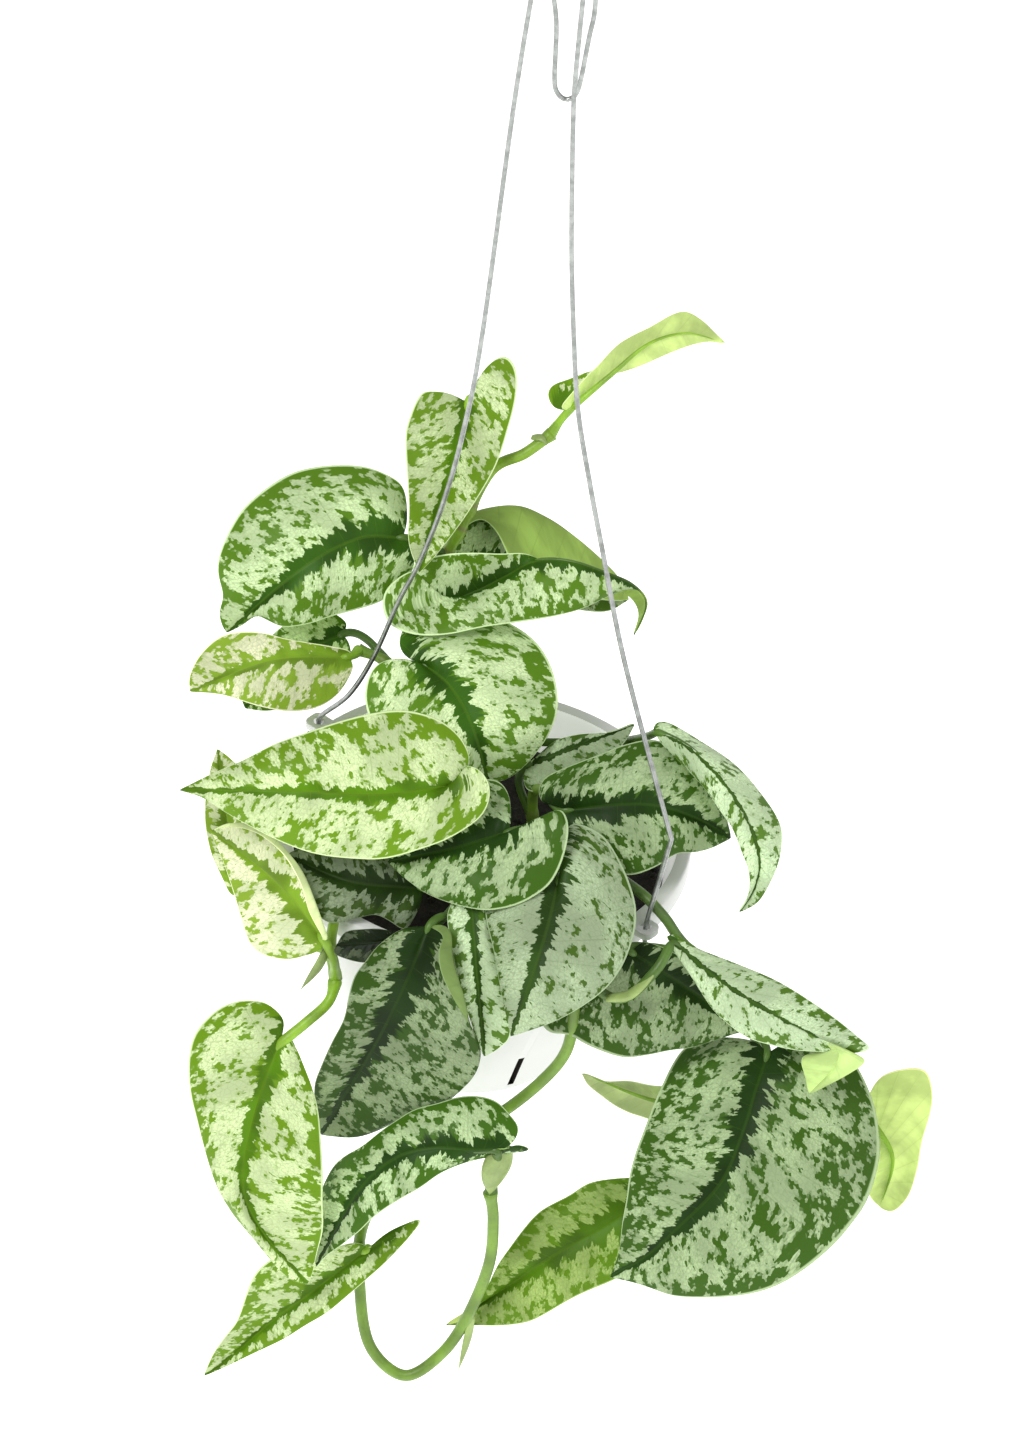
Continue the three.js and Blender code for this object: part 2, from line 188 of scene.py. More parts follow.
# the smooth curve through the points, as count + 1 points a constant distance apart, and its length
def evenPath(points, count, fineness=600):
    fine = [curvePoint(points, i / fineness) for i in range(fineness + 1)]
    run = [0.0]
    for a, b in zip(fine, fine[1:]):
        run.append(run[-1] + (b - a).length)
    path, k = [], 0
    for i in range(count + 1):
        goal = run[-1] * i / count
        while k < fineness - 1 and run[k + 1] < goal:
            k += 1
        share = (goal - run[k]) / max(run[k + 1] - run[k], 1e-9)
        path.append(fine[k].lerp(fine[k + 1], min(share, 1)))
    return path, run[-1]


# draws a round section along the path by extruding its end face, one ring for each point
def sweep(mesh, path, radii, sides, squash=1.0, material=0):
    last = len(path) - 1
    tangents = [(path[min(i + 1, last)] - path[max(i - 1, 0)]).normalized() for i in range(last + 1)]
    up = tangents[0].orthogonal().normalized()
    ring = bmesh.ops.create_circle(mesh, cap_ends=True, segments=sides, radius=1.0)["verts"]
    front = list({f for v in ring for f in v.link_faces})
    made = set(ring)
    for i, (spot, forward, radius) in enumerate(zip(path, tangents, radii)):
        up = (up - forward * up.dot(forward)).normalized()
        axes = Matrix((forward.cross(up) * radius, up * radius * squash, forward)).transposed().to_4x4()
        target = Matrix.Translation(spot) @ axes
        if i == 0:
            bmesh.ops.transform(mesh, matrix=target, verts=ring)
        else:
            grown = bmesh.ops.extrude_face_region(mesh, geom=front)["geom"]
            ring = [g for g in grown if isinstance(g, bmesh.types.BMVert)]
            bmesh.ops.transform(mesh, matrix=target @ place.inverted(), verts=ring)
            if i > 1:
                bmesh.ops.delete(mesh, geom=front, context="FACES")
            front = [g for g in grown if isinstance(g, bmesh.types.BMFace)]
            made.update(ring)
        place = target
    for f in {f for v in made for f in v.link_faces}:
        f.material_index = material


# the green by the midrib and further out, the silver patches and the underside
leafLooks = {
    "young": ((78, 119, 12), (109, 147, 27), (208, 228, 168), (186, 208, 124)),
    "bright": ((114, 147, 40), (134, 165, 52), (228, 240, 190), (216, 232, 166)),
    "mid": ((43, 76, 15), (84, 121, 26), (184, 206, 154), (150, 180, 88)),
    "mature": ((28, 54, 10), (62, 98, 22), (164, 186, 138), (138, 168, 92)),
    "silver": ((42, 69, 20), (74, 104, 33), (168, 188, 148), (160, 184, 112)),
    "lime": ((72, 108, 14), (94, 131, 24), (156, 182, 100), (180, 200, 112)),
}
lightest = {"look": 246, "tone": 252}  # no part of a leaf burns out to plain white
bladePattern = {
    "step": 0.75,                                # mm; the steps that a patch's edge moves in
    "patch": 0.115, "patchShare": 0.4, "blotch": 0.32, "blotchShare": 0.6, "edgeSoftness": 0.012,
    "stretch": 0.8, "slant": 0.4,                # patches lean along the side veins
    "spikes": 0.78, "spikeScale": 0.26, "ribTip": 0.7,  # the ragged green along the midrib
    "edgeGreen": 0.085, "margin": 0.965,         # more green by the margin, which is a pale line
    "dash": 0.75, "shade": 0.05, "grain": 1.2, "net": 0.6, "underBlotch": 0.06,
    "veinCount": 11.0, "leafShift": 137.0, "sideShift": 370.0, "uvScale": 100.0,
}
satin = {"Specular IOR Level": 0.12}


# shares along and out from the midrib, then the same surface laid flat, in mm, with leaning side veins
def leafSurface(make, leaf):
    p = bladePattern
    share = make.node("UVMap", {}, uv_map="leafUv")
    flat = make.node("UVMap", {}, uv_map="leafFlat")
    cross = make.timesPlus(make.node("SeparateXYZ", {0: share}, 1), 2.0, -1.0)
    run = make.times(make.node("SeparateXYZ", {0: flat}, 0), p["uvScale"])
    apart = make.maths("ABSOLUTE", make.times(make.node("SeparateXYZ", {0: flat}, 1), p["uvScale"]))
    side = make.maths("SIGN", cross)
    leaning = make.timesPlus(apart, -p["slant"], run)
    spot = make.node("CombineXYZ", {0: make.maths("ADD", leaning, leaf["seed"] * p["leafShift"]),
                                    1: make.timesPlus(side, p["sideShift"], make.times(apart, p["stretch"]))})
    vein, out = make.node("SeparateXYZ", {0: share}, 0), make.maths("ABSOLUTE", cross)
    return vein, out, side, run, apart, leaning, spot


def sideVeins(make, vein, side, low, strength):
    phase = make.timesPlus(vein, 2 * math.pi * bladePattern["veinCount"], make.times(side, 0.9))
    return make.ramp(make.maths("COSINE", phase), low, 1.0, 0.0, strength)


def tone(rgb, gain=1):
    return srgb(*[min(c * gain, lightest["tone"]) for c in rgb])


def lookOf(leaf):
    return [[min(c * leaf["gain"], lightest["look"]) for c in rgb] for rgb in leafLooks[leaf["look"]]]


def bladeTop(name, leaf, length):
    deep, fresh, silver, _ = lookOf(leaf)
    p = bladePattern
    make = Finish(name)
    vein, out, side, run, apart, leaning, spot = leafSurface(make, leaf)
    step = make.cells(spot, 1 / p["step"], 0.9, "Position")
    patch = make.times(make.noise(step, p["patch"], 1.0, 0.55, "2D"), p["patchShare"])
    blotch = make.times(make.noise(step, p["blotch"], 2.0, 0.6, "2D"), p["blotchShare"])
    value = make.maths("ADD", patch, blotch)
    comb = make.node("CombineXYZ", {0: leaning, 1: make.times(side, 50.0), 2: leaf["seed"] * 3.1})
    spike = make.noise(comb, p["spikeScale"], 3.0, 0.65)
    spike = make.ramp(spike, 0.32, 0.66, 1 - p["spikes"], 1 + p["spikes"], False)
    widest = leaf["ribZone"]
    zone = make.ramp(run, -4.0, length * 0.95, widest, min(p["ribTip"], widest / 2), False)
    reach = make.maths("DIVIDE", apart, make.times(zone, spike))
    edgeGreen = make.ramp(out, 0.6, 0.97, 0.0, p["edgeGreen"])
    green = make.maths("ADD", make.ramp(reach, 0.5, 1.25, 0.4, 0.0), edgeGreen)
    value = make.maths("SUBTRACT", value, green)
    level, soft = leaf["open"], p["edgeSoftness"]
    dashPoint = make.node("VectorMath", {0: spot, 1: (0.9, 0.4, 1.0)}, operation="MULTIPLY")
    dash = make.ramp(make.noise(dashPoint, p["dash"], 2.0, 0.6, "2D"), 0.7, 0.73)
    cover = make.times(make.ramp(value, level - soft, level + soft), make.maths("SUBTRACT", 1.0, dash))
    shade = make.noise(spot, p["shade"], 2.0, 0.5, "2D")
    grain = make.noise(spot, p["grain"], 3.0, 0.7, "2D")
    dark = make.mix(make.ramp(shade, 0.35, 0.65), tone(deep, 0.85), tone(deep, 1.12))
    dark = make.mix(make.times(make.ramp(reach, 0.9, 1.8), 0.75), dark, tone(fresh))  # fresher further out
    pale = make.mix(make.ramp(shade, 0.3, 0.7), tone(silver, 0.86), tone(silver, 1.07))
    pale = make.mix(make.ramp(grain, 0.35, 0.72, 0.0, 0.8), pale, tone(silver, 0.84))
    net = make.cells(spot, p["net"], 1.0, "Distance", "DISTANCE_TO_EDGE")
    pale = make.mix(make.ramp(net, 0.0, 0.13, 0.45, 0.0), pale, tone(silver, 0.76))  # the fine netted veins
    pale = make.mix(make.ramp(value, level, level + 0.06, 0.35, 0.0), pale, tone(fresh))  # greener edges
    line = sideVeins(make, vein, side, 0.985, 0.2)
    colour = make.mix(line, make.mix(cover, dark, pale), tone(fresh, 0.95))
    colour = make.mix(make.ramp(apart, 0.3, 0.8, 0.35, 0.0), colour, tone(fresh, 0.85))
    colour = make.mix(make.ramp(out, p["margin"], 0.99), colour, tone(silver, 1.05))
    relief = make.timesPlus(cover, 0.12, make.timesPlus(line, -1.2, make.times(grain, 0.25)))
    return make.finish(colour, make.ramp(cover, 0.0, 1.0, 0.42, 0.55), relief, 0.0004, 0.5, **satin)


def bladeUnder(name, leaf):
    under = lookOf(leaf)[3]
    make = Finish(name)
    vein, out, side, _, _, _, spot = leafSurface(make, leaf)
    blotch = make.noise(spot, bladePattern["underBlotch"], 4.0, 0.6, "2D")
    colour = make.mix(make.ramp(blotch, 0.35, 0.7), tone(under, 0.88), tone(under, 1.05))
    line = sideVeins(make, vein, side, 0.97, 0.22)
    colour = make.mix(line, colour, tone(under, 0.8))
    colour = make.mix(make.ramp(out, 0.97, 0.99), colour, tone(under, 1.12))
    relief = make.timesPlus(line, 0.8, make.times(blotch, 0.3))
    return make.finish(colour, 0.5, relief, 0.0004, 0.5, **satin)


def bladeEdge(name, leaf):
    silver = lookOf(leaf)[2]
    make = Finish(name)
    return make.finish(make.mix(make.grain(400, 1.0), tone(silver), tone(silver, 1.08)), 0.5)


stemLooks = {"stalkYoung": (132, 174, 40), "stalkOld": (74, 108, 32), "vineYoung": (134, 172, 46),
             "vineOld": (110, 144, 48), "vineShaded": (80, 110, 44), "paleSheath": (148, 171, 98)}
scarLook = (128, 122, 70)


def stemFinish(name):
    green = stemLooks[name]
    make = Finish(name)
    streak = make.grain(900, 2.0)
    blotch = make.grain(90, 3.0)
    colour = make.mix(make.ramp(blotch, 0.3, 0.7), tone(green, 0.86), tone(green, 1.1))
    colour = make.mix(make.ramp(streak, 0.5, 0.8, 0.0, 0.3), colour, tone(green, 0.7))
    scar = make.node("Attribute", {}, "Fac", attribute_name="scar")
    colour = make.mix(make.ramp(scar, 0.2, 1.0, 0.0, 0.8), colour, srgb(*scarLook))
    return make.finish(colour, 0.42, streak, 0.0002, 0.4)


stemFinishes = {name: stemFinish(name) for name in stemLooks}
print("finishes made")

# roots on the soil and points in the foliage's frame, mm; sheaths are flat dry bracts, each with its width
vines = {
    "upper": {"radius": 2.0, "root": (-4, 22), "look": "vineYoung", "points": [
        (-13,36,-14), (-20,60,-10), (-24,84,-6), (-17,106,-2), (-9,125,3), (2,132,6), (11,140,8)],
        "sheaths": [(1.6, [(4,138,8), (7.5,138,10), (9.5,135.5,11)])]},
    "left": {"radius": 1.8, "root": (-24, 16), "look": "vineOld", "points": [
        (-30,34,-16), (-38,52,-14), (-50,57,-14)]},
    "left_trailing": {"radius": 1.9, "root": (-30, -24), "look": "vineYoung", "points": [
        (-41,-20,34), (-47,-31,47), (-49,-48,42.5), (-46,-60,34)],
        "sheaths": [(2.2, [(-50,-49,47), (-52.5,-56,47), (-58,-65,45)])]},
    "front": {"radius": 2.0, "root": (-3, -22), "look": "vineOld", "points": [
        (-2,-14,22), (-3,-22,38), (-6,-34,50)]},
    "long": {"radius": 2.1, "root": (20, -32), "look": "vineOld", "points": [
        (25,-30,42), (31,-37,54), (37,-50,54), (39,-66,42), (36,-81,30), (20,-99,16), (0,-113,6),
        (-18,-128,-2), (-28,-147,-15), (-26.6,-170,-27), (-21,-189.5,-34), (-8,-198.6,-36),
        (4,-190,-33), (12,-176,-25), (18,-156,-8), (18,-140,4), (16,-130,12)],
        "sheaths": [(6.6, [(18.5,-113.8,25), (17.3,-120.5,21), (16,-131,13)]),
                    (1.9, [(14,-175,-25), (13,-184,-29), (11,-195,-33)]),
                    (2.6, [(50,-57,55), (58,-55,57), (65,-47,60), (68,-39,60)])]},
    "right": {"radius": 1.9, "root": (18, 6), "look": "vineOld", "points": [
        (17,12,8), (19,14,18), (22,14,26)]},
    "right_trailing": {"radius": 1.9, "root": (30, -10), "look": "vineShaded", "points": [
        (36,-6,8), (50,-14,26), (60,-20,38.5), (68,-27,38), (74,-34,36), (88,-47,26), (104,-66,12),
        (108,-86,0), (98,-104,-10)]},
}
stemShape = {"rootHeights": (-3, 8), "ringGap": 1.6, "fewestRings": 24, "sides": 14, "swell": 0.3,
             "swellReach": 2.6, "scarLag": 2.2, "scarReach": 0.9, "bractRings": 16, "bractSides": 12,
             "bractFlatness": 0.4}

# mm and degrees: the rib and the margins on its left and right run from stalk to tip, as seen from the upper
# face. A margin's point without a height lies off the rib by the angle fold; crown lifts the middle of each
# half, and leftMid and rightMid are lines that a rolled half passes on its way out.
leafDefaults = {
    "look": "mature", "gain": 1, "open": 0.452,  # silver where the pattern is above open
    "ribZone": 6.0, "stalkRadius": 1.55, "face": 1,  # half width of the green by the midrib at the stalk
    "fold": (0, 0), "crown": (0, 0),
}
leaves = {
    1: {"on": ("upper", 0.74), "look": "young", "gain": 0.95, "open": 0.45, "ribZone": 3, "fold": (30, 30),
        "crown": (1, 1), "rib": [(-20,148,14), (-22.5,128,9), (-27,107,9), (-31,86,18)],
        "left": [(-17.5,156), (-13,163), (-8,165.5), (-4,161), (-3,152), (-4.5,141), (-8,126), (-16.5,108),
         (-25,94)],
        "right": [(-26,150.3), (-32,150.6), (-37,148.8), (-40.4,138), (-40.4,131), (-39,122), (-37,109),
         (-35.8,96.6)]},
    2: {"on": ("upper", 0.62), "look": "mid", "gain": 1.1, "open": 0.456, "fold": (-14, -14), "crown": (3, 4),
        "rib": [(-38,98,4), (-54,96,9), (-73,83,12), (-97,58,0)],
        "left": [(-34,95), (-33,88), (-36,81.4), (-43,74.8), (-51,71), (-60,67.6), (-68,64), (-77,62),
         (-83,63.8), (-87,65), (-92,61)],
        "right": [(-37,105), (-39.5,116), (-46,120), (-54,122), (-63,121.7), (-72,120), (-80,117), (-88,111),
         (-95.5,103), (-100,94), (-102.6,85), (-102.4,78.6), (-99.6,71), (-100.6,65.6), (-99.2,61)]},
    3: {"on": ("left", 0.85), "look": "mid", "gain": 1.1, "ribZone": 3, "crown": (1, 1),
        "rib": [(-56,62,-22), (-72,52,-24), (-88,32,-26)],
        "left": [(-53,58), (-52,50), (-58,42), (-68,36), (-79,32)],
        "right": [(-55,66), (-62,69.5), (-72,67), (-82,58), (-88,46), (-90,37)]},
    4: {"on": ("left", 1), "look": "bright", "gain": 1.05, "open": 0.472, "ribZone": 3.4, "fold": (0, 25),
        "crown": (1, -1), "rib": [(-53,54,-8), (-80,50,0), (-108,36,-6)],
        "left": [(-51,50), (-55,41), (-62,35), (-72,32.5), (-83,33.3), (-96.6,36)],
        "right": [(-53,56), (-62,57), (-76,58), (-85,59.3), (-95,58.3), (-101,55), (-106,48.7),
         (-108.5,41.6)]},
    5: {"on": ("upper", 0.5), "look": "mid", "gain": 1.1, "ribZone": 4.5, "crown": (-1, 2),
        "rib": [(-22,75,2), (-9,82,4), (0,88,8), (10,94.5,13), (22,95.5,17), (35,92.7,16), (45,89.5,12),
         (50.6,83,6), (47,71,-2)],
        "left": [(-30,83.5,6), (-34,88,8), (-30,91,10), (-26,92.5,11), (-20,94,12), (-12,95,13), (-3,95.5,13),
         (6,96.5,13), (14,94,9), (24,91.2,8), (35,88.8,7), (44,85.5,4), (48.3,79.5,0)],
        "right": [(-29,83.5,5), (-33,87,8), (-38.5,83.5,9), (-42,79.5,10), (-43.3,75,10), (-41.6,69.4,11),
         (-38,65.8,13), (-29,64,15.5), (-18,65.5,17), (-7,69,17), (5.6,72,16.5), (18.5,75.4,15), (28,79,13),
         (36,84,12), (43.5,87.8,10), (48.6,87,6), (49.6,81,2), (48,75.5,-1)]},
    6: {"on": ("upper", 0.68), "look": "mid", "rib": [(-22,86,-16), (-4,92,-20), (20,92,-24), (44,84,-26)],
        "leftMid": [(-24,96,-20), (-15,108,-22), (0,113.5,-24), (12,110.5,-25), (22,105,-26), (32,98,-27),
         (40,91,-27)],
        "left": [(-20,99,-19), (-12,107,-18), (-6,104,-14), (-1,96,-11), (3,88,-10), (12,84,-12), (26,83,-16),
         (38,83,-22)], "right": [(-14,80,-18), (0,79,-20), (20,79,-22), (36,79,-25)]},
    7: {"on": ("upper", 1), "look": "young", "gain": 1.1, "face": -1,
        "rib": [(16.4,149,12), (30,163,15), (42,175,16), (55,180,14), (69,178,10)],
        "left": [(11,149,9), (8,153,7), (9,157,6), (15.5,160.3,6), (22,163.5,6), (28,165,8), (31,163.8,11),
         (39,166.8,13), (50.6,173,13), (58,176.5,12), (64,178.3,11)],
        "right": [(13,149.5,14), (16,154.5,15), (21,161.5,15), (24.5,165.5,14), (32,174.5,13), (43,181.7,11),
         (49,186,10), (54,187.7,9), (60,185,9), (65,181,10)]},
    8: {"on": ("upper", 0.3), "look": "mid", "gain": 1.17, "fold": (-20, 0), "crown": (5, 3),
        "rib": [(-26,54,12), (-15.5,46.5,22), (-7,34,27), (1,14,18)],
        "left": [(-33,56,12), (-36,62,8), (-32,70,4), (-20,74,1), (-6,74.5,0), (7,70,2), (15,64,5),
         (20.3,55.5,9), (22.9,45,12.5), (21.5,35.6,15), (16.2,25.4,16.5), (8.6,17,17)],
        "right": [(-33.4,55.4,16), (-40,54,18), (-44.3,50.3,19), (-46,43.3,21), (-45,36.5,23), (-40,27,26),
         (-30,19,29), (-18,13.5,29), (-7,11.5,25)]},
    9: {"on": ("left", 0.2), "look": "young", "open": 0.44, "ribZone": 3.6, "fold": (-6, -4), "crown": (3, 3),
        "stalk": [(-26,3,30), (-18,6,56)], "rib": [(-12,12,66), (-38,6.5,72), (-72,4.5,72), (-108,1,62)],
        "left": [(-7.7,19.8,69), (-2.5,18.8,69), (1.5,14,68), (2,8,67), (0,2.7,67), (-4.5,-1.8,68),
         (-11,-6.6,68), (-17,-9.7,68), (-32,-15.8,68), (-45,-17.1,68), (-57,-16.8,68), (-68,-14.3,67),
         (-81,-9.5,66), (-92,-4.5,64), (-99.6,-0.6,63)],
        "right": [(-8,17,66), (-6.5,23,65), (-11.5,30.7,65), (-20,35.6,66), (-31.6,37.3,67), (-43,35,68),
         (-54,31,68), (-65,26,68), (-75.6,21,68), (-86.4,14,67), (-97,8,65), (-102.5,4.5,63)]},
    10: {"on": ("left_trailing", 0.85), "look": "bright", "open": 0.405, "fold": (10, 10), "crown": (1, 1),
        "rib": [(-82,-34,24), (-90,-8,22), (-96,17,12)],
        "left": [(-86,-34), (-90,-28), (-94.6,-20), (-97.6,-10), (-98.5,-1), (-98.2,6), (-97.5,11)],
        "right": [(-78,-30), (-73,-18), (-76,-4), (-84,8), (-91,14)]},
    11: {"on": ("left_trailing", 0.98), "look": "bright", "gain": 1.03, "open": 0.405, "stalkRadius": 1.8,
        "fold": (-8, 0), "crown": (2, 1), "rib": [(-52,-46,52), (-70,-28,52), (-95,-12,44)],
        "left": [(-52,-50), (-57.6,-53), (-64.5,-55), (-73,-54), (-78,-50), (-82,-41), (-86,-31),
         (-90.3,-21.7), (-94,-15)],
        "rightMid": [(-50.5,-46,54), (-52.6,-41,57), (-56.6,-32.6,58), (-61.5,-24,56), (-68.3,-17,52),
         (-76,-11,48), (-88,-9,45)],
        "right": [(-52.5,-45,57), (-57.7,-37,60), (-61,-29,61), (-67,-20,58), (-72.6,-15,53), (-80,-11,49),
         (-89,-10,45)]},
    # leaf 12 sits in shade; its gain of 0.78 is painted shade
    12: {"on": ("front", 0.6), "look": "silver", "gain": 0.78, "fold": (8, 0), "crown": (2, 2),
        "rib": [(-18,-25,46), (-44,-25,50), (-68,-18,42)],
        "left": [(-19,-32), (-23,-40), (-28.5,-38), (-34,-36), (-41,-38), (-49.6,-40.5), (-57,-36),
         (-63,-27)], "right": [(-20,-17), (-32,-12), (-48,-10), (-60,-13)]},
    # leaf 13 lies in deep shade under the leaves in front of it; its gain of 0.45 is painted shade
    13: {"on": ("front", 0.66), "gain": 0.45, "rib": [(-23,-43,57), (-36,-46,56), (-47,-48,53)],
        "left": [(-26,-50), (-33,-52.5), (-40,-53), (-47,-51)], "right": [(-27,-41), (-36,-41), (-44,-43)]},
    14: {"on": ("front", 0.3), "gain": 1.04, "open": 0.46, "crown": (3, 1),
        "rib": [(10,-2,56), (-10,-10,58), (-32,-17,55)],
        "left": [(20,4,58), (27,8,61), (30.5,3,64), (30.5,-6,65), (28,-15.5,65), (24,-21.4,65),
         (15.4,-27.4,64), (5.5,-30.4,63), (-2.7,-30.2,62), (-10,-28.9,61), (-17.4,-26.6,59), (-25,-22.2,57)],
        "right": [(10,4,55), (8,12,52), (3,16,50), (-5,14,51), (-15,5,53), (-25,-6,55)]},
    15: {"on": ("long", 0.1), "look": "silver", "open": 0.382, "ribZone": 5, "stalkRadius": 1.8,
        "crown": (4, 3), "rib": [(29,-17,58), (27,-32,66), (23.5,-50,70), (17.5,-74,64)],
        "left": [(30.5,-8,55), (30,2,52), (34,3.6,51), (40,2,50), (44.7,-1,50), (50,-8,50), (54,-15,51),
         (57,-22.3,53), (58,-29,55), (57.2,-36.5,57), (54.8,-45,59), (50.8,-52.3,60), (44.8,-58.5,61),
         (37,-64.5,62), (29,-69,63)],
        "right": [(25,-10,54), (16,-8,50), (7,-13,51), (3,-22,54), (4.5,-33,59), (8,-43,63), (10.7,-52.5,65),
         (14,-63.5,65), (16.5,-70,64)]},
    16: {"on": ("front", 0.8), "look": "silver", "gain": 1.18, "open": 0.425, "ribZone": 2.2, "fold": (0, 8),
        "crown": (1, 1), "rib": [(-1,-27,57), (3,-50,61), (9,-82,50)],
        "left": [(3,-27), (8,-40), (12,-54), (16,-66), (17.4,-74), (13.5,-79)],
        "right": [(-6,-26), (-9,-33), (-7,-42), (-4,-52), (-0.6,-61.6), (3,-70), (6,-77)]},
    17: {"on": ("front", 1), "gain": 0.83, "open": 0.474, "fold": (0, -10), "crown": (2, 3),
        "rib": [(-15,-38,62), (-18.5,-50,62), (-23,-64,57), (-29.5,-81,44), (-37,-97,24), (-46,-116,2)],
        "leftMid": [(-8,-38,66), (-6,-48,70), (-3.3,-55,70), (-1,-61,68), (2,-73,58), (4.5,-80.5,50),
         (3,-88,41), (-3,-95,30), (-11,-101,22), (-20,-106,15), (-29,-111,9)],
        "left": [(-9.3,-41,69), (-10.9,-46,72), (-9,-54,73), (-3,-63.4,69), (4.5,-73,58), (8,-81,49),
         (6,-89,38), (0,-97.5,25), (-8,-103,17), (-17.5,-107,12), (-25,-112,8), (-34,-115.8,4)],
        "right": [(-24,-39.5), (-32,-46), (-36,-52), (-39.7,-58.4), (-41,-66), (-42,-74), (-45.4,-82.5),
         (-48.5,-92), (-50,-99), (-48.4,-108)]},
    18: {"on": ("right", 1), "fold": (-16, -8), "crown": (5, 3),
        "rib": [(29,7.5,38), (45,11,41), (60,12.5,40), (75,9.5,33), (88.5,3.5,24)],
        "left": [(27,10), (21,9), (18.5,13), (20,18), (24,21), (32,25.2), (40.6,29.5), (47.5,33), (57.4,35.8),
         (66,33), (75,27), (83,16.5), (87,8.5)],
        "right": [(28,2), (32,-5), (40,-10), (48,-13), (53.5,-13.3), (58,-12), (64.3,-8.4), (70,-4), (76,-3),
         (81.5,-1), (86,1.8)]},
    19: {"on": ("right", 0.4), "look": "silver", "open": 0.405, "ribZone": 1.2, "fold": (0, 30),
        "rib": [(14,22,10), (30,30,11), (50.5,40.5,9)],
        "left": [(15,22), (16.7,25.2), (22.9,31.6), (31.5,34.9), (42.7,36.8)],
        "right": [(13,17), (16,13), (26,15), (38,23), (47,33)]},
    20: {"on": ("upper", 0.2), "look": "silver", "gain": 1.24, "open": 0.4, "ribZone": 0.8, "fold": (-35, -5),
        "crown": (2, 1), "stalk": [(22,31,-3), (42,33,-8), (54,36,12)],
        "rib": [(57,39,36), (70,34,46), (83,23.5,50), (93,11,48), (99,-3,42), (98,-14,34), (93.6,-22.5,27)],
        "left": [(58,42), (63,42), (74,37), (87,30), (97,21), (105,11), (106.6,3), (105.5,-6), (101,-17),
         (97,-20.7)],
        "right": [(59,36), (61,33.7), (70.3,26), (77.6,19.4), (83,13), (88.3,6.7), (92.3,-1), (95.5,-7.2),
         (96.6,-13.7), (95.6,-19)]},
    21: {"on": ("right_trailing", 0.5), "gain": 0.9, "fold": (0, -4), "crown": (0, 3),
        "rib": [(57,-40,46), (70,-46.5,43), (85,-54.5,37), (100,-64,29)],
        "left": [(62,-36), (75,-40), (88,-48), (97,-57)],
        "right": [(50,-42), (42,-47), (35.5,-54), (29.5,-62.5), (27.5,-67.5), (31,-71.5), (38,-71.5),
         (45,-74.6), (57,-77.6), (65.4,-76.3), (74.6,-73.5), (82,-71.8), (89,-68.7), (96.4,-65.5)]},
    22: {"on": ("long", 0.17), "look": "silver", "gain": 1.18, "open": 0.395, "ribZone": 0.9,
        "stalkRadius": 1.9, "crown": (1, 3), "stalk": [(54,-57,52), (66,-46,60)],
        "rib": [(69,-33,57), (88,-46,60), (110,-57,58), (126,-63.5,52), (134,-67.3,45), (132,-75,38),
         (124.7,-83.8,34)],
        "left": [(72,-32,56), (81,-36.4,56), (94,-40,54), (111,-45.4,52), (129,-54.6,48), (139,-61,45),
         (145,-66.3,41), (133,-68.8,40), (121,-70.5,38), (123,-78,35)],
        "right": [(71,-37,58), (77.7,-45,58), (87,-56.7,56), (94,-62.3,54), (101,-66.3,52), (109.3,-68,50),
         (119,-69,46), (131,-68.6,42), (143.5,-69.5,38), (138,-75,36), (130.5,-80,35)]},
    23: {"on": ("right_trailing", 0.72), "fold": (-10, -22), "crown": (5, 5),
        "rib": [(109,-71,20), (106,-84,25), (103,-99,28), (97,-118,27), (84,-135,21), (73,-147,15),
         (61,-156,8)],
        "left": [(116,-66), (128,-66), (137,-69), (141.7,-73), (148,-84), (151,-94), (152.3,-105),
         (149.5,-119.5), (145.5,-127), (141,-134), (135,-141), (128.7,-147), (121,-152.7), (112,-156.7),
         (101.6,-159), (91,-160.2), (83,-160.2), (76.5,-158.4), (68,-156.6)],
        "right": [(103,-67), (90.5,-67), (80.3,-71), (76,-77), (72.4,-86.4), (70,-94), (67.7,-102.6),
         (65.5,-111), (64.2,-119.6), (64,-128), (63.3,-136.5), (63.4,-145), (62.2,-152)]},
    24: {"on": ("right_trailing", 0.8), "look": "young", "gain": 1.17, "face": -1, "crown": (1, 1),
        "stalk": [(120,-84,-4), (138,-90,-5)], "rib": [(148,-91,-5), (157,-104,-8), (154.5,-122,-12)],
        "left": [(146,-96), (147,-108), (150,-118)],
        "right": [(146,-84), (149,-76.5), (154,-73), (162,-71), (166.5,-72.5), (169,-80), (168.8,-87),
         (167,-97), (166.3,-107), (164,-117), (159,-123)]},
    25: {"on": ("right_trailing", 0.9), "look": "bright", "gain": 0.98, "face": -1, "crown": (1, 1),
        "rib": [(92,-93,-16), (70,-92,-14), (44,-85,-18)],
        "left": [(90,-87), (80,-86), (70,-86.6), (61,-85.8), (52.6,-86.8)],
        "right": [(90,-100), (78,-101), (67.4,-98.6), (62,-97.4), (56.6,-95.3), (52,-92.6), (46.6,-89)]},
    26: {"on": ("right_trailing", 1), "look": "lime", "fold": (-12, -8), "crown": (2, 2),
        "rib": [(76,-124,-12), (58,-138,-14), (40,-151,-18), (22,-166,-28), (4.5,-179.5,-38)],
        "left": [(78,-132), (74,-145), (66,-155), (54,-162), (48,-165.7), (38,-173), (33,-175.6), (25,-177.5),
         (14.7,-178.5)],
        "right": [(74,-119), (65,-120), (57,-121.4), (50,-123.7), (44,-128.5), (34.4,-135), (29,-142),
         (24.5,-149.6), (21,-156), (18.5,-163), (15,-171.4), (10.4,-176.6)]},
    27: {"on": ("long", 1), "gain": 1.12, "open": 0.465, "ribZone": 3.6, "stalkRadius": 1.9, "crown": (1, 2),
        "stalk": [(16.3,-126,13), (17.3,-119.5,20)],
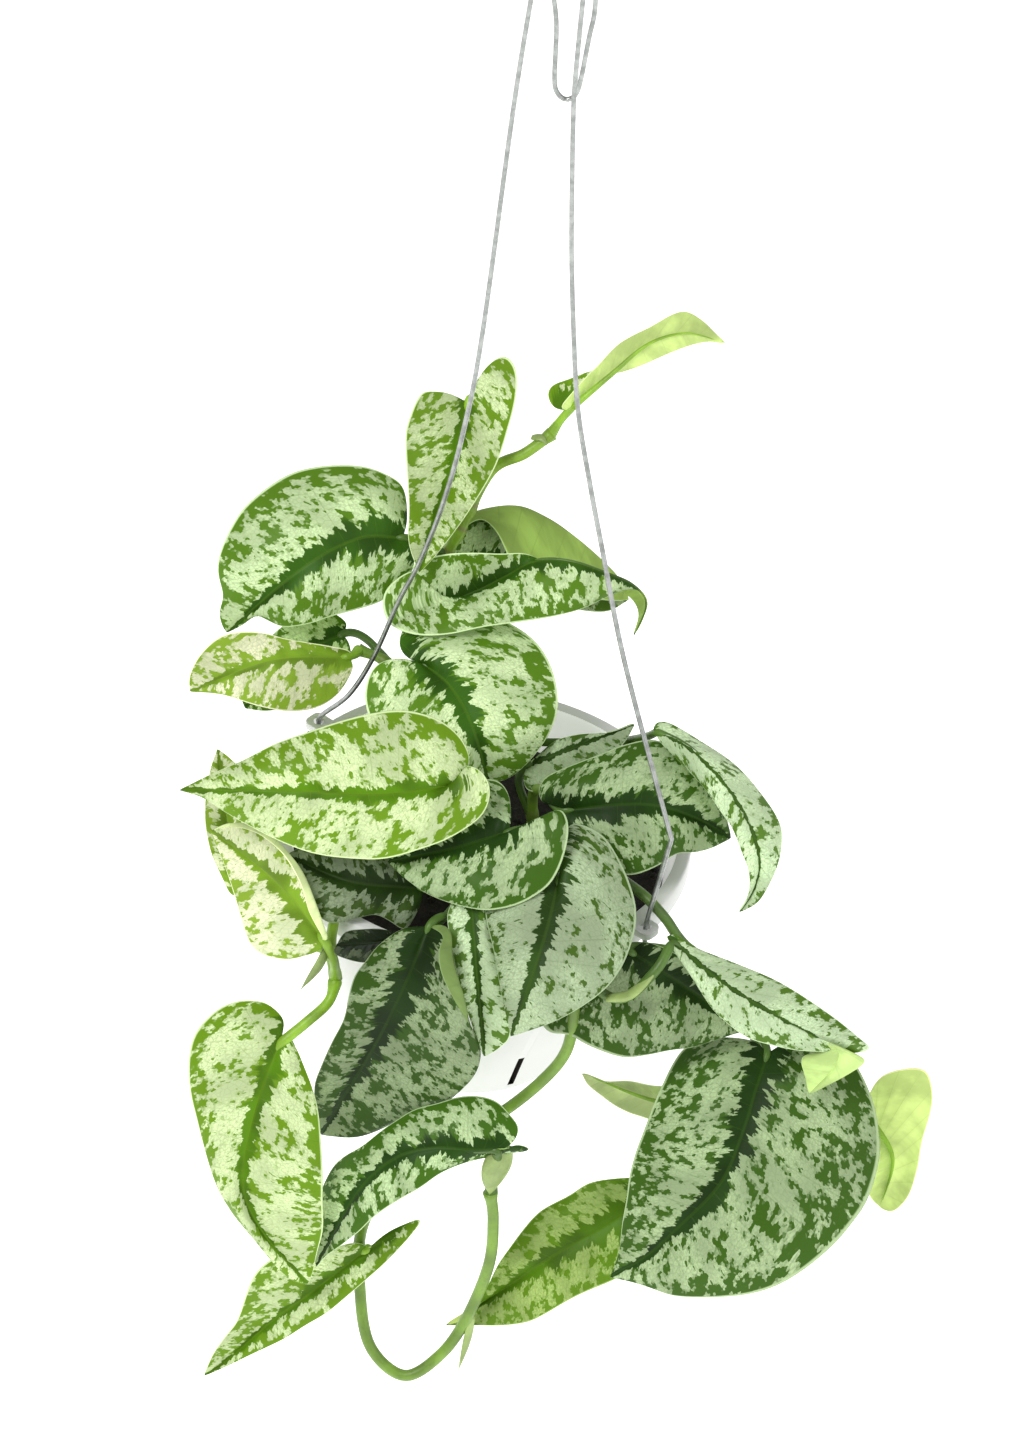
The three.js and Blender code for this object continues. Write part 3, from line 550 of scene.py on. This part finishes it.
        "rib": [(18,-114.5,31), (8,-115.5,32), (-5,-116,31), (-17,-120,28), (-27,-129,21), (-35,-143,12),
         (-43,-163,0)],
        "left": [(24,-112,29), (29,-113.6,25), (22,-115.5,24), (8.5,-119.5,27), (-1.5,-124.5,29),
         (-8.5,-130.5,29), (-13.5,-134,28), (-19.5,-138.5,25), (-25,-143.5,21), (-28.6,-148,17),
         (-34.5,-153.8,11), (-40,-158.5,5)],
        "right": [(22,-112,31), (24,-106,30), (19.6,-101,29), (15,-97.2,28), (8.6,-96,27), (1.4,-97,27),
         (-5.7,-100,26), (-13.7,-103,24), (-19.5,-107.4,22), (-25,-112,20), (-31,-118,16), (-37,-122.3,12),
         (-41.5,-128,8), (-45,-140,3), (-45,-153,0)]},
    28: {"on": ("left_trailing", 1), "look": "young", "open": 0.442, "ribZone": 3.2, "stalkRadius": 2.0,
        "fold": (-10, -12), "crown": (3, 5), "stalk": [(-47.5,-68,35), (-54.5,-76,36.5)],
        "rib": [(-63,-83,36), (-67,-97,35), (-70,-111,34), (-72,-126,32), (-71,-139,28), (-64,-151,21),
         (-54.5,-160.5,15), (-45,-169,10)],
        "left": [(-61,-80.5), (-57.3,-85.6), (-53.5,-92.5), (-50,-99.5), (-47.2,-107.6), (-45.2,-118),
         (-43.6,-128), (-42.6,-138.5), (-41.5,-149), (-42.8,-157.4), (-43.8,-165)],
        "right": [(-62.5,-76), (-66,-73), (-69.3,-70.6), (-74.5,-70.2), (-80,-71), (-86,-74), (-90.4,-78.5),
         (-94,-84), (-95.3,-90.5), (-95,-98), (-93.4,-106), (-90.5,-114), (-87.6,-122), (-84,-131),
         (-80,-139), (-74,-147), (-68.4,-152.6), (-61,-160), (-54.5,-166), (-49,-169)]},
    29: {"on": ("long", 0.6), "look": "young", "gain": 0.98, "open": 0.47, "ribZone": 2.5, "fold": (10, 30),
        "crown": (1, 0),
        "rib": [(-25.3,-154.6,-9), (-33,-162,-12), (-40.5,-169,-15), (-48,-176,-18), (-58,-185,-24),
         (-69,-197,-30), (-79,-206,-34)],
        "left": [(-20.5,-149.4), (-15.7,-145.8), (-7.2,-141.8), (-9.3,-146.7), (-15,-154.6), (-19.4,-160),
         (-25,-166), (-31,-172.4), (-37.5,-179), (-44.3,-184), (-52,-190), (-62,-196), (-71.7,-202)],
        "right": [(-27.5,-153), (-32.7,-153.5), (-38,-156), (-48,-158), (-56,-160), (-60,-162.5), (-64,-167),
         (-66.3,-173), (-68,-181), (-69.5,-186), (-73,-191.5), (-76.5,-198)]},
}
bladeShape = {"thickness": 0.55, "rows": 44, "halfColumns": 12, "sweep": 1.55, "groove": 0.45, "quilt": 0.3,
              "wave": 0.5, "waves": 2.3}
stalkShape = {"foot": 0.5, "footReach": 6, "sides": 12, "steps": 40, "rings": 60, "midrib": 1.25,
              "midribSteps": 24}


def vinePoints(vine):
    upright = Matrix.Rotation(math.radians(-plant["lean"]), 3, "X")
    low, high = (upright @ Vector((*vine["root"], plant["soilTop"] + h)) for h in stemShape["rootHeights"])
    return [low, high] + [Vector(p) for p in vine["points"]]


def vineSpot(name, share):
    path, _ = evenPath(vinePoints(vines[name]), 200)
    return path[round(min(share, 0.995) * 200)]


# a point of the midrib and which way is up there
def ribFrame(rib, share, face):
    early = share < 0.5
    forward = curvePoint(rib, share + early * 1e-4) - curvePoint(rib, share - (not early) * 1e-4)
    forward.normalize()
    up = Vector((0, 0, face))
    return curvePoint(rib, share), (up - forward * up.dot(forward)).normalized()


def midribRadius(share):
    return stalkShape["midrib"] * (0.95 * (1 - share) + 0.12)


def fading(share):  # from the stalk and from the tip
    return min(1, 5 * share) * min(1, 5 * (1 - share))


# a line beside the midrib, a point for each row; points given flat are raised by the fold
def sideLine(points, rib, ribRows, fold):
    flat = len(points[0]) == 2
    whole = [rib[0]] + [Vector(p if len(p) == 3 else (*p, 0)) for p in points] + [rib[-1]]
    if flat:
        whole[0], whole[-1] = Vector((*rib[0].xy, 0)), Vector((*rib[-1].xy, 0))
    path, _ = evenPath(whole, len(ribRows) - 1)
    if flat:
        slope = math.tan(math.radians(fold))
        path = [Vector((*p.xy, r.z + (p.xy - r.xy).length * slope)) for p, r in zip(path, ribRows)]
    return path


# gives the blade its thickness: a copy below with its faces turned, and a rim between the two
def thickenBlade(mesh):
    down = {v: v.normal * -bladeShape["thickness"] for v in mesh.verts}
    rim = [(a.vert, a.link_loop_next.vert) for f in mesh.faces for a in f.loops if a.edge.is_boundary]
    copies = bmesh.ops.duplicate(mesh, geom=mesh.verts[:] + mesh.edges[:] + mesh.faces[:])
    under = copies["vert_map"]
    lower = [g for g in copies["geom"] if isinstance(g, bmesh.types.BMFace)]
    for v, step in down.items():
        under[v].co += step
    bmesh.ops.reverse_faces(mesh, faces=lower)
    for f in lower:
        f.material_index = 1
    for a, b in rim:
        mesh.faces.new((b, a, under[a], under[b])).material_index = 2


# a flat grid whose rows become side veins, from the midrib to the margins, evenly spaced along the margins
def growBlade(mesh, leaf, rib):
    shape = bladeShape
    rows, half = shape["rows"], shape["halfColumns"]
    shareUv, flatUv = mesh.loops.layers.uv["leafUv"], mesh.loops.layers.uv["leafFlat"]
    grid = bmesh.ops.create_grid(mesh, x_segments=2 * half, y_segments=rows, size=1.0)["verts"]
    at = {(round(v.co.x * half), round((v.co.y + 1) / 2 * rows)): v for v in grid}
    key = {v: k for k, v in at.items()}
    fine, length = evenPath(rib, 400)
    ribShares = [(row / rows) ** shape["sweep"] for row in range(rows + 1)]
    ribRows = [fine[round(share * 400)] for share in ribShares]
    outward = Vector((0, 0, leaf["face"]))
    flat = {}
    for k, sides in enumerate((("leftMid", "left"), ("rightMid", "right"))):
        lines = [sideLine(leaf[name], rib, ribRows, leaf["fold"][k]) for name in sides if name in leaf]
        for row in range(rows + 1):
            s = row / rows
            forward = (ribRows[min(row + 1, rows)] - ribRows[max(row - 1, 0)]).normalized()
            points = [ribRows[row]] + [line[row] for line in lines]
            x, y, last = ribShares[row] * length, 0.0, points[0]
            flat[0, row] = (x, y)
            for column in range(1, half + 1):
                out = column / half
                spot = curvePoint(points, out)
                bow = math.sin(math.pi * out)
                vein = abs(math.sin(math.pi * s * bladePattern["veinCount"])) - 0.5
                phase = s * shape["waves"] + leaf["seed"] * 1.7 + 0.37 * k
                lift = leaf["crown"][k] * bow + shape["quilt"] * vein * bow
                lift += shape["wave"] * out ** 3 * math.sin(2 * math.pi * phase)
                spot = spot + outward * lift * fading(s)
                step = spot - last
                ahead = step.dot(forward)
                x, y, last = x + ahead, y + math.sqrt(max(step.length_squared - ahead * ahead, 0)), spot
                at[column if k else -column, row].co = spot
                flat[column if k else -column, row] = (x, y if k else -y)
    for row in range(rows + 1):
        at[0, row].co = ribRows[row] - outward * shape["groove"] * fading(row / rows)
    for f in mesh.faces:
        for loop in f.loops:
            column, row = key[loop.vert]
            loop[shareUv].uv = (row / rows, (column / half + 1) / 2)
            loop[flatUv].uv = [c / bladePattern["uvScale"] for c in flat[column, row]]
    bmesh.ops.remove_doubles(mesh, verts=mesh.verts, dist=0.02)
    mesh.normal_update()
    thickenBlade(mesh)
    return length


def stalkPath(leaf, rib):
    shares = [i / stalkShape["steps"] for i in range(stalkShape["steps"] + 1)]
    start, base = vineSpot(*leaf["on"]), curvePoint(rib, 0.02)
    if "stalk" in leaf:
        points = [start, *[Vector(p) for p in leaf["stalk"]], base]
        return [curvePoint(points, t) for t in shares]
    forward = (curvePoint(rib, 0.01) - curvePoint(rib, 0)).normalized()
    arrive = base - forward * 0.4 * (base - start).length
    return [start.lerp(arrive, t).lerp(arrive.lerp(base, t), t) for t in shares]


def growLeaf(number, given):
    leaf = {**leafDefaults, **given, "seed": number}
    label = f"{number:02d}"
    rib = [Vector(p) for p in leaf["rib"]]
    mesh = bmesh.new()
    mesh.loops.layers.uv.new("leafUv")
    mesh.loops.layers.uv.new("leafFlat")
    mesh.verts.layers.float.new("scar")
    length = growBlade(mesh, leaf, rib)
    path = stalkPath(leaf, rib)
    petiole = sum((b - a).length for a, b in zip(path, path[1:]))
    steps, rings = stalkShape["midribSteps"], stalkShape["rings"]
    for i in range(1, steps + 1):  # the stalk runs on under the blade as its midrib
        share = 0.02 + 0.9 * i / steps
        place, up = ribFrame(rib, share, leaf["face"])
        path.append(place - up * (midribRadius(share) * 0.9 + bladeShape["groove"] + bladeShape["thickness"]))
    even, total = evenPath(path, rings)
    radii = []
    for i in range(rings + 1):
        run = total * i / rings
        flare = stalkShape["foot"] * max(0, 1 - run / stalkShape["footReach"])
        radii.append(leaf["stalkRadius"] * (1 + flare) if run < petiole
                     else midribRadius((run - petiole) / (total - petiole)))
    sweep(mesh, even, radii, stalkShape["sides"], material=3)
    stalk = "stalkYoung" if leaf["look"] in ("young", "bright", "lime") else "stalkOld"
    finishes = [bladeTop("leafTop" + label, leaf, length), bladeUnder("leafUnder" + label, leaf),
                bladeEdge("leafEdge" + label, leaf), stemFinishes[stalk]]
    piece = makePiece("leaf" + label, mesh, finishes, "leaf_" + label, leafFrame)
    smooth = piece.modifiers.new("smooth", "SUBSURF")
    smooth.levels = smooth.render_levels = 1


def growVine(name, vine):
    shape, points = stemShape, vinePoints(vine)
    count = max(shape["fewestRings"], round(evenPath(points, 1)[1] / shape["ringGap"]))
    path, length = evenPath(points, count)
    knots = [leaf["on"][1] * length for leaf in leaves.values() if leaf["on"][0] == name]

    def nearKnots(run, reach):
        return max([math.exp(-((run - k) / reach) ** 2) for k in knots], default=0)

    runs = [length * i / count for i in range(count + 1)]
    marks = [nearKnots(run - shape["scarLag"], shape["scarReach"]) for run in runs]
    radii = [vine["radius"] * (1 + shape["swell"] * nearKnots(run, shape["swellReach"])) for run in runs]
    mesh = bmesh.new()
    scar = mesh.verts.layers.float.new("scar")
    sweep(mesh, path, radii, shape["sides"])
    for v in mesh.verts:
        v[scar] = marks[min(range(count + 1), key=lambda i: (path[i] - v.co).length_squared)]
    rings = shape["bractRings"]
    for width, bract in vine.get("sheaths", []):
        route, _ = evenPath([Vector(p) for p in bract], rings)
        widths = [width * max(math.sin(math.pi * (0.25 + 0.75 * i / rings)), 0.05) for i in range(rings + 1)]
        sweep(mesh, route, widths, shape["bractSides"], shape["bractFlatness"], material=1)
    finishes = [stemFinishes[vine["look"]], stemFinishes["paleSheath"]]
    makePiece(f"vine_{name}_stem", mesh, finishes, f"vine_{name}", leafFrame)


for name, vine in vines.items():
    growVine(name, vine)
print("vines grown")
for number, leaf in leaves.items():
    growLeaf(number, leaf)
print("leaves grown")

# across and up in the upright plane of the pot's lugs, mm; the hook alone leaves that plane
legs = {
    "turn": -37.6, "radius": 0.9, "sides": 14, "ringGap": 1.5, "shades": ((134, 137, 134), (168, 171, 168)),
    "left": [(-82,-8.6), (-79,-8.2), (-77.5,-6.5), (-77.5,-2), (-76.6,3), (-65,20), (-55.6,43.5),
             (-46.7,75), (-39.3,97), (-31.6,128), (-25.7,164), (-21.4,212), (-17.4,319), (-14,375)],
    "hook": [(-9.8,13,393), (-7.6,17,400.5), (-5.6,22,398), (-4.6,25,385), (-4.4,25,363),
             (-1.8,25,345), (-0.6,25,321), (1.0,25,314.6), (4.2,25,312.2), (7.2,25,314.6),
             (8.6,25,322), (10,25,341), (11,25,352), (10.6,25,366), (9.6,24,388), (8.8,19,399),
             (8,10,402), (7.2,0,399)],
    "right": [(8.3,385), (8.4,346), (9.5,325), (14,275), (18.9,237), (24.3,205), (32.7,177), (40.4,154),
              (55.7,110), (82,51), (84.5,45), (83.5,38), (78.3,6), (77.5,0), (77.5,-6.5), (79,-8.2),
              (82,-8.6)],
}


def wireFinish():
    make = Finish("galvanisedWire")
    bloom = make.grain(260, 3.0, 0.6)
    fine = make.grain(2200, 2.0, 0.6)
    colour = make.mix(make.ramp(bloom, 0.3, 0.7), *[srgb(*shade) for shade in legs["shades"]])
    return make.finish(colour, make.ramp(fine, 0.3, 0.7, 0.26, 0.42), fine, 0.00012, 0.35, Metallic=0.85)


def makeHanger():
    turn = math.radians(legs["turn"])
    left, right = ([Vector((w * math.cos(turn), w * math.sin(turn), z)) for w, z in legs[side]]
                   for side in ("left", "right"))
    route = left + [Vector(p) for p in legs["hook"]] + right
    path, _ = evenPath(route, round(evenPath(route, 1)[1] / legs["ringGap"]))
    mesh = bmesh.new()
    sweep(mesh, path, [legs["radius"]] * len(path), legs["sides"])
    makePiece("hangerWire", mesh, [wireFinish()], "hanger_wire", potFrame)


makeHanger()
print("hanger bent")

potShape = {
    "rimRadius": 75, "lipWidth": 3.5, "lipDepth": 9, "wall": 1.8, "baseRadius": 39, "height": 94,
    "footHeight": 2, "steps": 120, "softWidth": 0.3, "softAngle": 50,
    "slots": 6, "slotWidth": 2.4, "slotBottom": 3.5, "slotTop": 21, "slotReach": 14, "slotOut": 4,
    "slotTurn": -61, "lugRadius": 77.5, "lugWidth": 8, "lugReach": 81.5, "lugThickness": 2.6,
    "lugHole": 1.9, "lugDrop": 0.2, "lugRound": 2.5, "white": 220, "paintedLightWhiteInside": 246, "paintedGlowInside": 0.36,
}


def potFinish(name, white, glow):  # white plastic; the copy for the inside is lighter and glows, painted light that keeps the inner wall white where the leaves shade it
    make = Finish(name)
    grain = make.grain(1500, 2.0, 0.6)
    haze = make.ramp(make.grain(30, 3.0, 0.5), 0.3, 0.7)
    colour = make.mix(haze, srgb(white - 3, white - 2, white - 4), srgb(white + 3, white + 4, white + 2))
    rough = make.ramp(haze, 0.0, 1.0, 0.38, 0.5, False)
    return make.finish(colour, rough, grain, 0.00006, 0.3, glow)


def slotFinish():  # the walls of the drainage slots are near-black: painted shade of the narrow slot, with wet peat clinging to them
    make = Finish("slotPeatStainAndPaintedShade")
    grain = make.grain(900, 4.0, 0.6)
    return make.finish(make.mix(grain, srgb(14, 12, 10), srgb(44, 36, 28)), 0.8, grain, 0.0002, 0.6)


def spinProfile(mesh, profile, steps):
    verts = [mesh.verts.new((r, 0, z)) for r, z in profile]
    edges = [mesh.edges.new(pair) for pair in zip(verts, verts[1:])]
    bmesh.ops.spin(mesh, geom=verts + edges, cent=(0, 0, 0), axis=(0, 0, 1), dvec=(0, 0, 0),
                   angle=2 * math.pi, steps=steps, use_merge=True)
    bmesh.ops.remove_doubles(mesh, verts=mesh.verts, dist=0.001)
    bmesh.ops.recalc_face_normals(mesh, faces=mesh.faces)


def turnedBox(mesh, size, centre, angle):
    place = Matrix.Rotation(angle, 4, "Z") @ Matrix.Translation(centre) @ Matrix.Diagonal((*size, 1))
    bmesh.ops.create_cube(mesh, size=1.0, matrix=place)


def makeShell():
    p = potShape
    rim, base, height, foot, wall, lip = (
        p[key] for key in ("rimRadius", "baseRadius", "height", "footHeight", "wall", "lipDepth"))
    neck = rim - p["lipWidth"]
    mesh = bmesh.new()
    spinProfile(mesh, [
        (0, foot - height), (base - 6, foot - height), (base - 5, -height), (base - 1.5, -height),
        (base - 0.4, 0.5 - height), (base, 1.5 - height), (base + 6, 18 - height), (neck - 1.2, -lip - 3),
        (neck, -lip - 1), (neck, -wall), (rim - wall, -wall), (rim - wall, -lip), (rim - 0.3, -lip),
        (rim, 0.5 - lip), (rim, -1), (rim - 0.3, -0.3), (rim - 1, 0), (neck - wall + 0.4, 0),
        (neck - wall, -0.8), (neck - wall, -lip - 1), (base - wall, foot + wall + 1 - height),
        (base - wall - 1, foot + wall - height), (0, foot + wall - height)], p["steps"])
    return plainObject("potShell", mesh)


def makeLugs(cuts):
    p = potShape
    neck, reach, thick = p["rimRadius"] - p["lipWidth"], p["lugReach"], p["lugThickness"]
    lugs = bmesh.new()
    for side in (0, 180):
        angle = math.radians(legs["turn"] + side)
        middle = ((reach + neck) / 2, 0, -thick / 2 - p["lugDrop"])
        turnedBox(lugs, (reach - neck, p["lugWidth"], thick), middle, angle)
        centre = Matrix.Rotation(angle, 4, "Z") @ Vector((p["lugRadius"], 0, -thick / 2))
        bmesh.ops.create_cone(cuts, cap_ends=True, segments=24, radius1=p["lugHole"], radius2=p["lugHole"],
                              depth=3 * thick, matrix=Matrix.Translation(centre))
    outer = [e for e in lugs.edges if abs(e.verts[0].co.z - e.verts[1].co.z) > 1
             and e.verts[0].co.xy.length > p["lugRadius"]]
    bmesh.ops.bevel(lugs, geom=outer, offset=p["lugRound"], offset_type="OFFSET", segments=5, profile=0.5,
                    affect="EDGES", material=-1)
    return plainObject("potLugs", lugs)


def makePot():
    p = potShape
    shell, cuts = makeShell(), bmesh.new()
    lugs = makeLugs(cuts)
    bottom, top = p["slotBottom"] - p["height"], p["slotTop"] - p["height"]
    for i in range(p["slots"]):
        turnedBox(cuts, (p["slotReach"], p["slotWidth"], top - bottom),
                  (p["baseRadius"] + p["slotOut"], 0, (p["slotTop"] + p["slotBottom"]) / 2 - p["height"]),
                  math.radians(p["slotTurn"] + 360 * i / p["slots"]))
    cutter = plainObject("potCuts", cuts)
    for tool, operation in ((lugs, "UNION"), (cutter, "DIFFERENCE")):
        cut = shell.modifiers.new(operation.lower(), "BOOLEAN")
        cut.object, cut.operation, cut.solver = tool, operation, "EXACT"
    soften = shell.modifiers.new("soften", "BEVEL")
    soften.width, soften.segments = p["softWidth"], 2
    soften.limit_method, soften.angle_limit = "ANGLE", math.radians(p["softAngle"])
    result = bmesh.new()
    shape = shell.evaluated_get(bpy.context.evaluated_depsgraph_get())
    result.from_mesh(bpy.data.meshes.new_from_object(shape))
    for spare in (shell, lugs, cutter):
        bpy.data.objects.remove(spare)
    for face in result.faces:
        centre = face.calc_center_median()
        facing = face.normal.dot(Vector((centre.x, centre.y, 0)).normalized())
        # the slot walls get the near-black finish: painted shade with peat stain
        if bottom - 1 < centre.z < top + 1 and abs(facing) < 0.45:
            face.material_index = 1
        # faces that look inwards get the lighter, glowing copy: painted light
        elif facing < -0.3:
            face.material_index = 2
    finishes = [potFinish("whitePlastic", p["white"], 0), slotFinish(),
                potFinish("whitePlasticInsidePaintedGlow", p["paintedLightWhiteInside"], p["paintedGlowInside"])]
    makePiece("hangingPot", result, finishes, "pot", potFrame)


soilShape = {"gap": 0.6, "dip": 3, "crown": 2.2, "rings": 18, "steps": 90, "rough": 1.4, "lumps": 150,
             "lumpSize": (0.6, 1.9), "lumpHeight": (-1.6, 0.4), "lumpRough": 0.25}


def soilFinish():
    make = Finish("peat")
    crumbs = make.grain(420, 6.0, 0.7)
    fibre = make.grain(1600, 3.0, 0.6)
    colour = make.mix(make.ramp(crumbs, 0.35, 0.65), srgb(12, 10, 8), srgb(40, 32, 26))
    colour = make.mix(make.ramp(fibre, 0.6, 0.72, 0.0, 0.5), colour, srgb(60, 48, 38))
    return make.finish(colour, 0.95, crumbs, 0.0012, 1.0)


def makeSoil():
    p, s, surface = potShape, soilShape, plant["soilTop"]
    neck, foot = p["rimRadius"] - p["lipWidth"] - p["wall"], p["baseRadius"] - p["wall"]
    bottom, top = p["footHeight"] + p["wall"] + 1 - p["height"], -p["lipDepth"] - 1

    def inner(z):
        return foot + (z - bottom) / (top - bottom) * (neck - foot)

    floor = bottom - 0.6
    edge = inner(surface - s["dip"]) - s["gap"]
    profile = [(0, floor), (inner(floor + 2) - 2, floor), (inner(floor + 2) - s["gap"], floor + 2),
               (edge, surface - s["dip"])]
    for i in range(1, s["rings"] + 1):
        share = i / s["rings"]
        profile.append((edge * (1 - share), surface - 2.6 + s["crown"] * math.sin(math.pi / 2 * share)))
    mesh = bmesh.new()
    spinProfile(mesh, profile, s["steps"])
    for v in mesh.verts:
        if v.co.z > surface - 2.9 and v.co.xy.length < edge * 0.98:
            v.co.z += s["rough"] * noise.fractal(v.co * 0.16, 0.8, 2.0, 4)
    for i in range(s["lumps"]):
        angle, radius = random.uniform(0, 2 * math.pi), (edge - 3) * math.sqrt(random.random())
        size = random.uniform(*s["lumpSize"])
        height = surface + random.uniform(*s["lumpHeight"])
        place = Matrix.Translation((radius * math.cos(angle), radius * math.sin(angle), height))
        spin = Matrix.Rotation(random.uniform(0, 3), 4, (random.random(), random.random(), 1))
        for v in bmesh.ops.create_icosphere(mesh, subdivisions=1, radius=size, matrix=place @ spin)["verts"]:
            v.co += Vector([random.uniform(-1, 1) for axis in range(3)]) * size * s["lumpRough"]
    makePiece("pottingSoil", mesh, [soilFinish()], "soil", potFrame)


makePot()
makeSoil()
print("pot and soil made")

studio = {"floorDrop": 0.14, "floorSize": 6.0, "floorGlow": 0.8, "world": 0.55, "aimHeight": 40,
          "lamps": {"key": ((-0.7, -0.9, 1.3), 17.0, 0.6), "fill": ((1.1, -0.9, 0.5), 5.95, 1.2)}}  # m, W, m


def makeFloor():
    make = Finish("paleFloor")
    colour = make.mix(make.grain(2.0), srgb(250, 250, 250), srgb(254, 254, 254))
    mesh = bmesh.new()
    bmesh.ops.create_grid(mesh, x_segments=2, y_segments=2, size=studio["floorSize"],
                          matrix=Matrix.Translation((0, 0, cadBox[0].z - studio["floorDrop"])))
    floor = plainObject("floor", mesh)
    floor.data.materials.append(make.finish(colour, 0.8, glow=studio["floorGlow"]))


def lightStudio():
    world = bpy.data.worlds.new("studio")
    world.use_nodes = True
    inputs = world.node_tree.nodes["Background"].inputs
    inputs[0].default_value, inputs[1].default_value = (1, 1, 1, 1), studio["world"]
    bpy.context.scene.world = world
    aim = potFrame @ Vector((0, 0, studio["aimHeight"]))
    for name, (spot, power, size) in studio["lamps"].items():
        data = bpy.data.lights.new(name, "AREA")
        data.energy, data.size = power, size
        lamp = addObject(name, data)
        lamp.location = aim + Vector(spot)
        lamp.rotation_euler = (-Vector(spot)).to_track_quat("-Z", "Y").to_euler()
    bpy.context.scene.view_settings.view_transform = "Standard"


makeFloor()
lightStudio()
print("studio lit")
